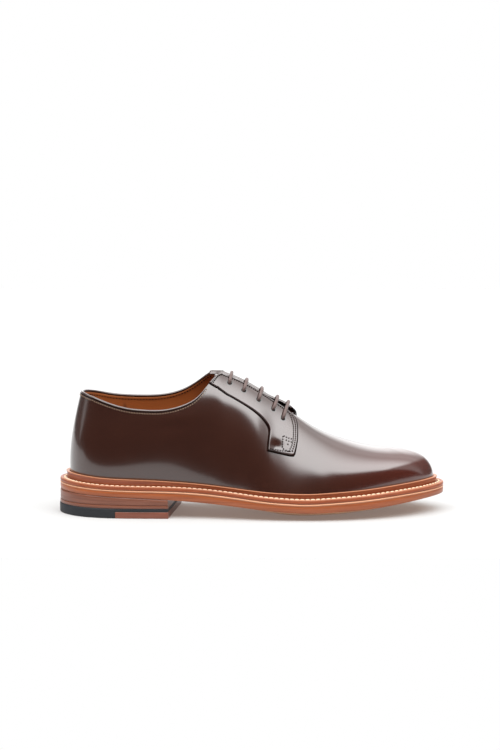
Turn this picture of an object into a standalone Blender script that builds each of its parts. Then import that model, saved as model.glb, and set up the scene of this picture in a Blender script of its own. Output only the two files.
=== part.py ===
"""Plain toe derby, right shoe, drawn on its last.

Ribs rise from the feather line, where the upper stands on the sole, to the topline round the
collar and to the ridge over instep and vamp. Sizes are millimetres, measured from the back of
the sole (x), the middle of the heel (y, medial side positive) and the floor (z).
"""

import math
from typing import NamedTuple

import bmesh
import bpy
import numpy as np

MM = 0.001
LATERAL = -1
MEDIAL = 1

# Driving sizes; the section tables are drawn for DRAWN and follow these
LENGTH = 306.0
BALL_WIDTH = 88.0
INSTEP_HEIGHT = 112.4
HEEL_HEIGHT = 18.7

WALL = 2.2
GAP = 0.3
FOOT_GAP = 0.45
WELT_THICK = 3.5
LIP_THICK = 1.9
LIP_FLARE = 0.7
INSOLE_THICK = 3.2
TONGUE_THICK = 1.6
TONGUE_HALF = 24.0
TONGUE_RISE = 7.0
TONGUE_GAP = 0.7
TONGUE_TAPER = 0.9
TONGUE_SINK = 1.5
EYESTAY_THICK = 1.2
EYESTAY_GAP = 0.62
EYELET_RADIUS = 1.9
LACE_RADIUS = 1.3
LACE_GAP = 0.2
BAR_LEAN = 0.22
BREAST_X = 87.7
BREAST_SKEW = 8.0
TOP_PIECE = 5.2
RUBBER_LAYER = 2.4
RUBBER_SHARE = 0.625
HEEL_FLARE = 0.6
TOP_PIECE_GAP = 0.004
LIFT_SPLIT = 10.3
SEAT_END = 95.0
SEAT_BLEND = 12.0
LEVEL_RIM = 0.62

STEPS = 2
RISE = (0.0, 0.13, 0.29, 0.44, 0.58, 0.69, 0.78, 0.86, 0.93, 1.0)
RISE_FIXED = 0.69
EXTRA_RIBS = (8.25, 8.75, 9.25, 9.75, 10.25, 13.75)
ACROSS = 7
RIDGE_ROW = 10
CLOSED_ROW = 13


class Drawn(NamedTuple):
    """Sizes of the shoe that the section tables were drawn for."""

    length: float = 306.0
    ball_width: float = 88.0
    instep_height: float = 112.4
    heel_height: float = 18.7


class Section(NamedTuple):
    """One rib on each side: its foot, the welt beside it, its lean and its top."""

    foot_x: float
    foot_lat: float
    foot_med: float
    margin: float
    lip: float
    lean_lat: float
    lean_med: float
    foot_pull: float
    top_x: float
    top_lat: float
    top_med: float
    z_lat: float
    z_med: float
    top_lean: float
    top_pull: float


class SoleRow(NamedTuple):
    """One station of the outsole: lower edge, thickness, crown across it and medial arch."""

    x: float
    edge: float
    thick: float
    crown: float
    arch: float


class ToplineRow(NamedTuple):
    """One station of the collar's edge: its height on each side."""

    x: float
    z_lat: float
    z_med: float


class Eyelet(NamedTuple):
    """One pair of eyelets: its section number and its distance from the throat's edge."""

    at: float
    set_back: float


class RimRow(NamedTuple):
    """One corner of a plate's rim: how far in it lies, and its share of the thickness."""

    inset: float
    share: float


DRAWN = Drawn()

# Heel back first, toe tip last
SECTIONS = (
    Section(9.2, 0.0, 0.0, 8.2, 5.4, 4, 4, 28, 18.3, 0.0, 0.0, 96.5, 96.5, 76, 26),
    Section(13.2, -12.4, 12.4, 7.6, 5.4, 5, 5, 28, 21.0, -9.8, 9.8, 95.8, 96.0, 77, 26),
    Section(22.2, -22.2, 22.2, 6.9, 5.3, 7, 7, 28, 27.6, -17.6, 17.6, 93.8, 94.6, 79, 26),
    Section(36.0, -28.4, 28.2, 6.6, 5.0, 9, 9, 27, 38.4, -24.0, 23.8, 92.0, 93.6, 80, 26),
    Section(54.0, -31.0, 29.8, 6.6, 4.8, 9, 9, 26, 54.6, -28.0, 27.4, 89.2, 91.8, 79, 26),
    Section(73.0, -31.6, 29.0, 6.7, 4.4, 8, 10, 25.5, 73.5, -29.0, 27.6, 89.6, 93.0, 75, 25),
    Section(91.0, -32.3, 27.3, 6.5, 3.8, 6.5, 12, 25, 92.0, -26.4, 25.2, 96.0, 99.0, 65, 25),
    Section(106.0, -33.6, 26.3, 6.4, 3.4, 5.5, 14, 24.5, 107.0, -20.0, 19.4, 105.6, 107.6, 48, 25),
    Section(118.0, -35.0, 26.1, 6.4, 3.2, 5, 15, 24, 118.0, -12.0, 11.8, 111.8, 112.6, 28, 27.5),
    Section(127.0, -36.3, 26.7, 6.5, 3.1, 4.5, 15, 23.5, 125.2, -4.8, 4.8, 113.0, 113.2, 10, 31),
    Section(135.0, -37.5, 27.7, 6.7, 3.1, 4, 15, 23, 131.6, 0.0, 0.0, 110.3, 110.3, 2, 34),
    Section(145.0, -39.0, 29.3, 7.0, 3.1, 4, 14, 22, 142.6, 0.0, 0.0, 105.4, 105.4, 0, 34),
    Section(158.0, -41.4, 32.4, 7.0, 3.2, 4, 13, 16.5, 157.2, 0.0, 0.0, 97.5, 97.5, 0, 31.5),
    Section(173.0, -43.6, 37.3, 6.7, 3.4, 2.5, 9, 9, 173.0, 0.2, 0.2, 87.6, 87.6, 0, 22.5),
    Section(189.0, -44.3, 41.9, 7.0, 3.6, 4, 7, 10, 189.0, 0.6, 0.6, 75.6, 75.6, 0, 24),
    Section(207.0, -43.0, 44.7, 8.0, 3.6, 7, 7, 16, 206.0, 1.5, 1.5, 64.9, 64.9, 0, 30),
    Section(226.0, -40.6, 45.8, 8.1, 3.6, 8, 7, 22, 224.0, 3.0, 3.0, 57.4, 57.4, 0, 32),
    Section(245.0, -35.6, 43.8, 8.3, 3.7, 7, 6, 25, 240.0, 4.2, 4.2, 52.7, 52.7, 0, 32),
    Section(263.5, -28.0, 38.7, 8.4, 3.9, 6, 5, 25, 252.0, 5.2, 5.2, 50.4, 50.4, 0, 30),
    Section(280.5, -17.3, 30.3, 8.2, 4.1, 5, 4, 23.5, 259.5, 5.8, 5.8, 49.7, 49.7, 0, 25.5),
    Section(292.6, -5.0, 19.6, 7.9, 4.3, 4, 4, 22.5, 264.0, 6.3, 6.3, 49.3, 49.3, 0, 21),
    Section(298.3, 7.5, 7.5, 7.7, 4.4, 3, 3, 23, 266.0, 6.5, 6.5, 49.1, 49.1, 0, 19),
)

SOLE = (
    SoleRow(-4.0, 18.9, 5.9, 0.0, 0.0),
    SoleRow(45.0, 16.5, 5.7, 0.0, 0.0),
    SoleRow(90.0, 14.3, 7.0, 0.0, 0.0),
    SoleRow(105.0, 13.3, 7.4, 0.3, 0.5),
    SoleRow(120.0, 12.2, 7.5, 1.0, 1.2),
    SoleRow(138.0, 10.5, 7.4, 2.4, 1.4),
    SoleRow(160.0, 8.2, 7.2, 4.8, 0.8),
    SoleRow(182.0, 6.4, 7.3, 7.5, 0.1),
    SoleRow(200.0, 5.9, 7.5, 7.5, 0.0),
    SoleRow(215.0, 6.5, 7.7, 7.6, 0.0),
    SoleRow(232.0, 7.4, 7.8, 6.9, 0.0),
    SoleRow(252.0, 8.9, 7.7, 5.0, 0.0),
    SoleRow(272.0, 11.1, 7.0, 2.8, 0.0),
    SoleRow(290.0, 12.9, 6.1, 1.0, 0.0),
    SoleRow(306.0, 13.8, 5.7, 0.0, 0.0),
)

TOPLINE = (
    ToplineRow(14.0, 97.0, 97.0),
    ToplineRow(17.5, 96.5, 96.5),
    ToplineRow(27.0, 94.1, 94.6),
    ToplineRow(39.0, 90.2, 91.7),
    ToplineRow(55.0, 86.0, 89.9),
    ToplineRow(71.0, 84.5, 89.6),
    ToplineRow(83.0, 84.6, 90.5),
    ToplineRow(95.0, 86.8, 93.5),
    ToplineRow(104.0, 90.1, 97.8),
    ToplineRow(112.0, 95.5, 103.4),
    ToplineRow(119.0, 103.4, 108.8),
    ToplineRow(124.0, 108.2, 111.1),
    ToplineRow(128.0, 110.8, 112.4),
    ToplineRow(134.0, 114.3, 114.9),
)

# Half gap of the throat, by section number
THROAT_AT = (8.9, 9.3, 9.6, 9.9, 10.4, 13.2, 13.6, 13.85, 14.0)
THROAT_HALF = (14.0, 11.8, 10.2, 9.1, 8.4, 6.6, 5.4, 3.2, 0.0)

EYELETS = (
    Eyelet(10.25, 8.6),
    Eyelet(11.2, 10.4),
    Eyelet(12.0, 11.2),
    Eyelet(12.74, 10.1),
    Eyelet(13.24, 12.6),
)

# Facing outlines as (section number, distance down the rib from the throat or collar edge)
FACING_INNER = ((9.45, 0), (10.2, 0), (11.2, 0), (12.2, 0), (13.1, 0), (13.6, 1.5), (13.87, 7.5), (13.96, 18),
                (13.95, 30), (13.8, 42.2))
FACING_OUTER = ((8.18, 0), (9.12, 13.5), (10.3, 20.2), (11.25, 22.3), (11.95, 23.3), (12.37, 25.2),
                (12.58, 29.2), (12.57, 36), (12.53, 42.5), (12.5, 47.4))
FACING_STEPS = 21
FACING_ACROSS = 6

OUTSOLE_RIM = (RimRow(1.2, 0.0), RimRow(0.2, 0.14), RimRow(0.0, 0.5), RimRow(0.1, 0.9), RimRow(0.7, 1.0))
LIFT_RIM = (RimRow(0.3, 0.0), RimRow(0.0, 0.08), RimRow(0.0, 0.92), RimRow(0.3, 1.0))
INSOLE_RIM = (RimRow(0.4, 0.0), RimRow(0.0, 0.5), RimRow(0.4, 1.0))

HEEL_RUN = np.linspace(0, 1, 17)

LAST_ROW = len(SECTIONS) - 1


def loop_spline(rows, at):
    """Smooth closed curve through the rows, read at the row numbers in at."""
    count = len(rows)
    unit = np.eye(count)
    band = 4 * unit + np.roll(unit, 1, axis=0) + np.roll(unit, -1, axis=0)
    second = np.roll(rows, -1, axis=0) - 2 * rows + np.roll(rows, 1, axis=0)
    bend = np.linalg.solve(band, 6 * second)
    whole = np.floor(at).astype(int)
    f = (at - whole)[..., None]
    g = 1 - f
    low = whole % count
    high = (whole + 1) % count
    curve = ((g**3 - g) * bend[low] + (f**3 - f) * bend[high]) / 6
    return rows[low] * g + rows[high] * f + curve


def open_spline(knots, values, at):
    """Smooth curve through values at the knots, straight at both ends, read at the places in at."""
    knots = np.asarray(knots, float)
    values = np.asarray(values, float)
    span = np.diff(knots)
    slope = np.diff(values) / span
    band = np.eye(len(knots))
    push = np.zeros(len(knots))
    for i in range(1, len(knots) - 1):
        band[i, i - 1:i + 2] = span[i - 1], 2 * (span[i - 1] + span[i]), span[i]
        push[i] = 6 * (slope[i] - slope[i - 1])
    bend = np.linalg.solve(band, push)
    i = np.clip(np.searchsorted(knots, at) - 1, 0, len(span) - 1)
    right = at - knots[i]
    left = knots[i + 1] - at
    cubic = (bend[i] * left**3 + bend[i + 1] * right**3) / (6 * span[i])
    start = (values[i] / span[i] - bend[i] * span[i] / 6) * left
    end = (values[i + 1] / span[i] - bend[i + 1] * span[i] / 6) * right
    return cubic + start + end


def section_loop():
    """Rows of one closed loop: lateral side heel to toe, then medial side toe to heel."""
    long_by = LENGTH / DRAWN.length
    wide_by = BALL_WIDTH / DRAWN.ball_width
    high_by = INSTEP_HEIGHT / DRAWN.instep_height
    rows = []
    for s in SECTIONS:
        rows.append((s.foot_x * long_by, s.foot_lat * wide_by, s.margin, s.lip, s.lean_lat, s.foot_pull,
                     s.top_x * long_by, s.top_lat * wide_by, s.z_lat * high_by, s.top_lean, s.top_pull))
    for s in SECTIONS[-2:0:-1]:
        rows.append((s.foot_x * long_by, s.foot_med * wide_by, s.margin, s.lip, s.lean_med, s.foot_pull,
                     s.top_x * long_by, s.top_med * wide_by, s.z_med * high_by, s.top_lean, s.top_pull))
    return np.array(rows)


LOOP = section_loop()


def read_sections(side, w):
    """Columns of the section table at section numbers w on one side of the shoe."""
    w = np.asarray(w, float)
    return loop_spline(LOOP, w if side == LATERAL else 2 * LAST_ROW - w)


def sole_column(name, x):
    """One column of the sole table at places x."""
    knots = [row.x * LENGTH / DRAWN.length for row in SOLE]
    values = [getattr(row, name) for row in SOLE]
    grown = open_spline(knots, values, x)
    if name == "edge":
        grown = grown * HEEL_HEIGHT / DRAWN.heel_height
    return grown


def sole_lift(x, v, level_from):
    """How far the sole lies below or above its lateral edge at v, from -1 lateral to 1 medial."""
    past_heel = np.clip((x - SEAT_END) / SEAT_BLEND, 0, 1)
    inward = np.minimum(np.abs(v) / level_from, 1)
    hollow = np.maximum(sole_column("crown", x), 0) * (1 - inward**2)
    arch = np.maximum(sole_column("arch", x), 0) * np.maximum(v, 0) ** 2
    return (arch - hollow) * past_heel


def sole_bottom(x, v):
    """Underside of the outsole, flat where it would reach below the floor."""
    return np.maximum(sole_column("edge", x) + sole_lift(x, v, 1.0), 0.0)


def sole_top(x, v):
    """Top of the outsole: hollow in the middle, level under the wall and the welt."""
    return sole_column("edge", x) + sole_lift(x, v, LEVEL_RIM) + sole_column("thick", x)


def feather(side, w):
    """Foot of the ribs in plan and the direction straight out from it."""
    step = 1e-3
    foot = read_sections(side, w)[..., :2]
    w = np.asarray(w, float)
    along = read_sections(side, w + step)[..., :2] - read_sections(side, w - step)[..., :2]
    out = np.stack((along[..., 1], -along[..., 0]), axis=-1) * -side
    return foot, out / np.linalg.norm(out, axis=-1, keepdims=True)


def outline(side, w, beyond):
    """Plan curve that stays the given distance outside the feather line."""
    foot, out = feather(side, w)
    return foot + out * np.asarray(beyond)[..., None]


def ridge_slope(w):
    """Slope of the ridge at section numbers w; none along the collar."""
    tops = LOOP[RIDGE_ROW:LAST_ROW + 1]
    slopes = np.gradient(tops[:, 8], tops[:, 6])
    numbers = np.arange(RIDGE_ROW, LAST_ROW + 1)
    return np.interp(w, numbers, slopes) * np.clip(np.asarray(w) - RIDGE_ROW + 1, 0, 1)


def rib(side, w, t):
    """Points of the upper's outside: cubic ribs at sections w, from the sole t=0 to their tops t=1."""
    w, t = np.broadcast_arrays(np.asarray(w, float), np.asarray(t, float))
    here = read_sections(side, w)
    there = read_sections(-side, w)
    closed = (w >= CLOSED_ROW)[..., None]
    top = np.where(closed, (here[..., 6:9] + there[..., 6:9]) / 2, here[..., 6:9])
    foot_xy, out = feather(side, w)
    foot_z = sole_top(foot_xy[..., 0], side) + FOOT_GAP
    foot = np.concatenate((foot_xy, foot_z[..., None]), axis=-1)
    lean = np.radians(here[..., 4])[..., None]
    rise = np.concatenate((out * np.sin(lean), np.cos(lean)), axis=-1)
    away = foot_xy - top[..., :2]
    away = away / np.linalg.norm(away, axis=-1, keepdims=True)
    tilt = np.radians(np.where(w >= CLOSED_ROW, 0.0, np.maximum(here[..., 9], 0)))[..., None]
    dip = away[..., :1] * ridge_slope(w)[..., None] * np.cos(tilt) - np.sin(tilt)
    leave = np.concatenate((away * np.cos(tilt), dip), axis=-1)
    low = foot + rise * here[..., 5:6]
    high = top + leave * here[..., 10:11]
    t = t[..., None]
    s = 1 - t
    return s**3 * foot + 3 * s**2 * t * low + 3 * s * t**2 * high + t**3 * top


def outward(side, w, t):
    """Unit normals of the upper's outside."""
    step = 1e-3
    w, t = np.broadcast_arrays(np.asarray(w, float), np.asarray(t, float))
    t = np.clip(t, step, 1 - step)
    along = rib(side, w + step, t) - rib(side, w - step, t)
    up = rib(side, w, t + step) - rib(side, w, t - step)
    normal = np.cross(along, up) * -side
    return normal / np.linalg.norm(normal, axis=-1, keepdims=True)


def throat_share(side, w):
    """Share of the rib at section w that lies below the throat's edge."""
    half = np.interp(w, THROAT_AT, THROAT_HALF, left=0.0, right=0.0)
    if half <= 0:
        return 1.0
    t = np.linspace(0.6, 1.0, 161)
    reach = np.abs(rib(side, w, t)[:, 1] - rib(side, max(w, RIDGE_ROW), 1.0)[1])
    return float(np.interp(-half, -reach, t))


def topline_share(side, w):
    """Share of the rib at section w that lies below the collar's edge."""
    if w > RIDGE_ROW:
        return 1.0
    t = np.linspace(0.5, 1.0, 201)
    points = rib(side, w, t)
    heights = [row.z_lat if side == LATERAL else row.z_med for row in TOPLINE]
    edge = open_spline([row.x for row in TOPLINE], heights, points[:, 0])
    return float(np.interp(0.0, points[:, 2] - edge * INSTEP_HEIGHT / DRAWN.instep_height, t))


def wall_share(side, w):
    """Share of the rib at section w that the wall covers."""
    return min(throat_share(side, w), topline_share(side, w))


def down_rib(side, w, distance):
    """Share of the rib at section w that lies the given distance below the wall's edge."""
    t = np.linspace(wall_share(side, w), 0.0, 97)
    steps = np.linalg.norm(np.diff(rib(side, w, t), axis=0), axis=1)
    return float(np.interp(distance, np.concatenate(([0.0], np.cumsum(steps))), t))


def on_upper(side, w, distance, above):
    """Point the given height above the wall, the given distance down the rib from its edge."""
    t = down_rib(side, w, distance)
    return rib(side, w, t) + outward(side, w, t) * above


def on_instep(w, y, above):
    """Point above or below the closed instep at section w, y to the side of its ridge."""
    side = LATERAL if y < 0 else MEDIAL
    t = np.linspace(0.4, 1.0, 121)
    reach = np.abs(rib(side, w, t)[:, 1] - rib(side, w, 1.0)[1])
    share = float(np.interp(-abs(y), -reach, t))
    return rib(side, w, share) + outward(side, w, share) * above


def stations(last=LAST_ROW, steps=STEPS):
    """Section numbers at which everything is sampled, so that neighbouring facets match."""
    return np.linspace(0, last, int(last * steps) + 1)


def make_object(name, verts, faces, collection, weld=True):
    """Object from points in millimetres, moved so that the shoe stands in the middle of its box."""
    mesh = bpy.data.meshes.new(name)
    mesh.from_pydata(((np.asarray(verts) - CENTRE) * MM).tolist(), [], faces)
    obj = bpy.data.objects.new(name, mesh)
    collection.objects.link(obj)
    if weld:
        bm = bmesh.new()
        bm.from_mesh(mesh)
        bmesh.ops.remove_doubles(bm, verts=bm.verts, dist=2e-6)
        bmesh.ops.dissolve_degenerate(bm, edges=bm.edges, dist=1e-6)
        bm.to_mesh(mesh)
        bm.free()
    return obj


def grid_faces(rows, columns, start=0, flip=False):
    """Quads of a grid whose points are listed row by row."""
    faces = []
    for i in range(rows - 1):
        for j in range(columns - 1):
            a = start + i * columns + j
            quad = (a, a + columns, a + columns + 1, a + 1)
            faces.append(quad[::-1] if flip else quad)
    return faces


def loft(name, sections, collection, closed=False, caps=(False, False)):
    """Solid through closed sections that have the same number of points."""
    count, points = sections.shape[:2]
    faces = []
    for i in range(count if closed else count - 1):
        k = (i + 1) % count
        for j in range(points):
            m = (j + 1) % points
            faces.append((i * points + j, k * points + j, k * points + m, i * points + m))
    if caps[0]:
        faces.append(tuple(range(points)))
    if caps[1]:
        faces.append(tuple(range((count - 1) * points, count * points)))
    obj = make_object(name, sections.reshape(-1, 3), faces, collection)
    bm = bmesh.new()
    bm.from_mesh(obj.data)
    bmesh.ops.recalc_face_normals(bm, faces=bm.faces)
    bm.to_mesh(obj.data)
    bm.free()
    return obj


def plate(edge, low, high, rim, across):
    """Sections of a plate: along its underside, up one rim, back along its top, down the other."""
    v = np.linspace(-1, 1, across)

    def layer(inset, height):
        near = edge(LATERAL, inset)
        far = edge(MEDIAL, inset)
        xy = near[:, None] + (far - near)[:, None] * ((v + 1) / 2)[None, :, None]
        return np.concatenate((xy, height(xy[..., 0], v[None, :])[..., None]), axis=-1)

    def corner(side, row):
        xy = edge(side, row.inset)
        z = (1 - row.share) * low(xy[:, 0], side) + row.share * high(xy[:, 0], side)
        return np.concatenate((xy, z[:, None]), axis=-1)[:, None]

    parts = [layer(rim[0].inset, low)]
    parts += [corner(MEDIAL, row) for row in rim[1:-1]]
    parts.append(layer(rim[-1].inset, high)[:, ::-1])
    parts += [corner(LATERAL, row) for row in rim[-2:0:-1]]
    return np.concatenate(parts, axis=1)


def sole_edge(side, w, inset=0.0):
    """Plan curve of the sole's edge."""
    return outline(side, w, read_sections(side, w)[..., 2] - inset)


def outsole_sections():
    """Outsole: a bent plate as wide as the welt."""
    return plate(lambda side, inset: sole_edge(side, stations(), inset), sole_bottom, sole_top,
                 OUTSOLE_RIM, ACROSS)


def insole_sections():
    """Insole: lies on the outsole, inside the wall."""
    clear = WALL + 3 * GAP
    numbers = stations(steps=1)
    return plate(lambda side, inset: outline(side, numbers, np.full(len(numbers), -clear - inset)),
                 lambda x, v: sole_top(x, v) + GAP,
                 lambda x, v: sole_top(x, v) + GAP + INSOLE_THICK,
                 INSOLE_RIM, ACROSS)


def welt_sections():
    """Storm welt: a ledge on the outsole's rim with a lip that follows the wall."""
    rings = []
    for side, numbers in ((LATERAL, stations()), (MEDIAL, stations()[-2:0:-1])):
        columns = read_sections(side, numbers)
        foot, out = feather(side, numbers)
        tip = WELT_THICK + columns[:, 3]
        wall = wall_reach(side, numbers, foot, out, (0.0, tip / 2, tip))
        face = wall[2] + GAP + LIP_THICK
        edge = columns[:, 2]
        profile = ((wall[0] + GAP, GAP), (edge - 0.5, GAP), (edge, 1.1), (edge, 2.5),
                   (edge - 0.8, WELT_THICK), (face + 0.6, WELT_THICK), (face, WELT_THICK - 0.6),
                   (face + LIP_FLARE, tip), (wall[2] + GAP, tip), (wall[1] + GAP, tip / 2))
        corners = []
        for beyond, height in profile:
            xy = foot + out * beyond[:, None]
            corners.append(np.column_stack((xy, sole_top(xy[:, 0], side) + height)))
        rings.append(np.stack(corners, axis=1))
    return np.concatenate(rings)


def wall_reach(side, numbers, foot, out, heights):
    """How far outside its foot the wall stands at each of the heights above the sole."""
    t = np.linspace(0, 0.5, 41)
    ribs = rib(side, numbers[:, None], t[None, :])
    reach = np.einsum("ijk,ik->ij", ribs[..., :2] - foot[:, None], out)
    climb = ribs[..., 2] - ribs[:, :1, 2]
    found = []
    for height in heights:
        wanted = np.broadcast_to(height, numbers.shape)
        found.append(np.array([np.interp(h, c, r) for h, c, r in zip(wanted, climb, reach)]))
    return found


def heel_sections(low, high, flare, shares):
    """Heel piece between two heights, at shares of the way from the back of the heel to its breast."""
    dense = stations(8, 40)
    runs = {}
    for side, breast in ((LATERAL, BREAST_X), (MEDIAL, BREAST_X + BREAST_SKEW)):
        runs[side] = np.interp(breast, sole_edge(side, dense)[:, 0], dense) * np.asarray(shares)
    return plate(lambda side, inset: sole_edge(side, runs[side], inset - flare), low, high, LIFT_RIM, 3)


def level(z):
    """Height function of a flat face."""
    return lambda x, v: np.zeros(np.broadcast_shapes(np.shape(x), np.shape(v))) + z


def rubber_sections():
    """Rubber layer across the heel, with a corner behind that reaches the floor."""
    top = level(TOP_PIECE + RUBBER_LAYER)
    corner = heel_sections(level(0.0), top, HEEL_FLARE, HEEL_RUN[HEEL_RUN <= RUBBER_SHARE])
    layer = heel_sections(level(TOP_PIECE), top, HEEL_FLARE, HEEL_RUN[HEEL_RUN >= RUBBER_SHARE])
    return np.concatenate((corner, layer))


def stretch(ends):
    """Factor by which the rows of the wall above RISE_FIXED close up below the throat's edge."""
    return (ends - RISE_FIXED) / (1 - RISE_FIXED)


def shell_patches():
    """Grids of the upper's outside, lateral and medial, up to the collar and throat."""
    numbers = np.union1d(stations(), EXTRA_RIBS)
    grids = []
    for side in (LATERAL, MEDIAL):
        ends = np.array([wall_share(side, w) for w in numbers])
        rise = np.array(RISE)[None, :]
        t = np.where(rise <= RISE_FIXED, rise, RISE_FIXED + (rise - RISE_FIXED) * stretch(ends)[:, None])
        grids.append(rib(side, numbers[:, None], t))
    return grids


def surface_object(name, grids, flips, collection, thick):
    """Open surface from grids, given a wall on its inner side."""
    verts = []
    faces = []
    for grid, flip in zip(grids, flips):
        faces += grid_faces(grid.shape[0], grid.shape[1], len(verts), flip)
        verts += grid.reshape(-1, 3).tolist()
    obj = make_object(name, verts, faces, collection)
    wall = obj.modifiers.new("wall", "SOLIDIFY")
    wall.thickness = thick * MM
    wall.offset = -1.0
    wall.use_even_offset = True
    return obj


def facing_grid(side):
    """Grid of a facing: from the throat's edge and its tab's front to the swan-neck line."""
    numbers = np.linspace(0, 1, FACING_STEPS + 1)
    knots = np.linspace(0, 1, len(FACING_INNER))
    inner = [open_spline(knots, column, numbers) for column in zip(*FACING_INNER)]
    outer = [open_spline(knots, column, numbers) for column in zip(*FACING_OUTER)]
    grid = np.zeros((FACING_STEPS + 1, FACING_ACROSS + 1, 3))
    for i in range(FACING_STEPS + 1):
        for j in range(FACING_ACROSS + 1):
            share = j / FACING_ACROSS
            w = inner[0][i] + (outer[0][i] - inner[0][i]) * share
            down = max(inner[1][i] + (outer[1][i] - inner[1][i]) * share, 0.0)
            grid[i, j] = on_upper(side, w, down, EYESTAY_GAP + EYESTAY_THICK)
    return grid


def tongue_grid():
    """Grid of the tongue's outside, under the facings and the rear of the vamp."""
    numbers = (10.0, 10.5, 11.0, 11.7, 12.4, 13.1, 13.8, 14.4, 15.0)
    reach = np.linspace(-TONGUE_HALF, TONGUE_HALF, 9)
    grid = np.array([[on_instep(w, y, -WALL - TONGUE_GAP) for y in reach] for w in numbers])
    run = grid[0] - grid[1]
    tip = grid[0] + run / np.linalg.norm(run, axis=1, keepdims=True) * TONGUE_RISE
    tip[:, 1] *= TONGUE_TAPER
    tip[:, 2] -= TONGUE_SINK
    return np.concatenate((tip[None], grid))


def bar_path(eyelet):
    """Middle line of a lace bar over both facings, a little nearer the toe in the throat."""
    above = EYESTAY_GAP + EYESTAY_THICK + LACE_GAP + LACE_RADIUS
    halves = []
    for side in (LATERAL, MEDIAL):
        shares = np.linspace(1, 0, 5)
        halves.append([on_upper(side, eyelet.at + BAR_LEAN * (1 - share), eyelet.set_back * share, above)
                       for share in shares])
    return np.array(halves[0] + halves[1][::-1])


def tube_sections(path, radius, corners=6):
    """Round sections along a path."""
    ahead = np.gradient(path, axis=0)
    ahead /= np.linalg.norm(ahead, axis=1, keepdims=True)
    across = np.cross(ahead, (1.0, 0.0, 0.0))
    across /= np.linalg.norm(across, axis=1, keepdims=True)
    other = np.cross(ahead, across)
    turn = np.arange(corners) * 2 * math.pi / corners
    ring = np.cos(turn)[None, :, None] * across[:, None] + np.sin(turn)[None, :, None] * other[:, None]
    return path[:, None] + radius * ring


def hole_cutter(side, collection):
    """Pins that cut the eyelet holes of one side, straight through facing and wall."""
    verts = []
    faces = []
    corners = 10
    for eyelet in EYELETS:
        t = down_rib(side, eyelet.at, eyelet.set_back)
        middle = rib(side, eyelet.at, t)
        axis = outward(side, eyelet.at, t)
        pin = tube_sections(np.array([middle - axis * 6, middle + axis * 6]), EYELET_RADIUS, corners)
        start = len(verts)
        verts += pin.reshape(-1, 3).tolist()
        low = [start + i for i in range(corners)]
        high = [start + corners + i for i in range(corners)]
        faces += [(low[i], low[(i + 1) % corners], high[(i + 1) % corners], high[i]) for i in range(corners)]
        faces += [tuple(low), tuple(high)]
    name = "lateral" if side == LATERAL else "medial"
    cutter = make_object(f"cutter_eyelets_{name}", verts, faces, collection)
    bm = bmesh.new()
    bm.from_mesh(cutter.data)
    bmesh.ops.recalc_face_normals(bm, faces=bm.faces)
    bm.to_mesh(cutter.data)
    bm.free()
    cutter.hide_render = True
    cutter.display_type = "WIRE"
    return cutter


def cut(obj, cutter):
    """Cut the cutter's pins out of an object."""
    hole = obj.modifiers.new("eyelets", "BOOLEAN")
    hole.operation = "DIFFERENCE"
    hole.solver = "EXACT"
    hole.object = cutter


def dress(obj, name, colour, roughness):
    """Give an object a material of its own."""
    material = bpy.data.materials.new(name)
    material.use_nodes = True
    shader = material.node_tree.nodes["Principled BSDF"]
    shader.inputs["Base Color"].default_value = (*colour, 1.0)
    shader.inputs["Roughness"].default_value = roughness
    obj.data.materials.append(material)


def shoe_centre():
    """Middle of the shoe's box in plan, on the floor."""
    points = outsole_sections().reshape(-1, 3)
    rubber = rubber_sections().reshape(-1, 3)
    points = np.concatenate((points, rubber))
    middle = (points.min(axis=0) + points.max(axis=0)) / 2
    return np.array((middle[0], middle[1], 0.0))


CENTRE = np.zeros(3)
UPPER_COLOUR = (0.045, 0.014, 0.009)
SOLE_COLOUR = (0.45, 0.14, 0.05)
LIFT_COLOUR = (0.23, 0.09, 0.05)
RUBBER_COLOUR = (0.03, 0.04, 0.055)
LINING_COLOUR = (0.34, 0.10, 0.012)
LACE_COLOUR = (0.20, 0.13, 0.12)


def build_sole(parts):
    """Outsole, welt, insole and heel."""
    bottom = loft("outsole", outsole_sections(), parts)
    dress(bottom, "outsole_leather", SOLE_COLOUR, 0.45)
    welt = loft("welt", welt_sections(), parts, closed=True)
    dress(welt, "welt_leather", LIFT_COLOUR, 0.45)
    insole = loft("insole", insole_sections(), parts)
    dress(insole, "insole_leather", LINING_COLOUR, 0.6)
    layer = loft("heel_top_rubber", rubber_sections(), parts, caps=(False, True))
    dress(layer, "heel_rubber", RUBBER_COLOUR, 0.6)
    front_run = np.maximum(HEEL_RUN[HEEL_RUN >= RUBBER_SHARE], RUBBER_SHARE + TOP_PIECE_GAP)
    front = heel_sections(level(0.0), level(TOP_PIECE - GAP), HEEL_FLARE, front_run)
    piece = loft("heel_top_leather", front, parts, caps=(True, True))
    dress(piece, "top_piece_leather", SOLE_COLOUR, 0.5)
    lower = heel_sections(level(TOP_PIECE + RUBBER_LAYER + GAP), level(LIFT_SPLIT - GAP), 0.2, HEEL_RUN)
    dress(loft("heel_lift_lower", lower, parts, caps=(False, True)), "lower_lift_leather", LIFT_COLOUR, 0.5)
    upper = heel_sections(level(LIFT_SPLIT), lambda x, v: sole_bottom(x, v) - GAP, 0.0, HEEL_RUN)
    dress(loft("heel_lift_upper", upper, parts, caps=(False, True)), "upper_lift_leather", LIFT_COLOUR, 0.5)


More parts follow.
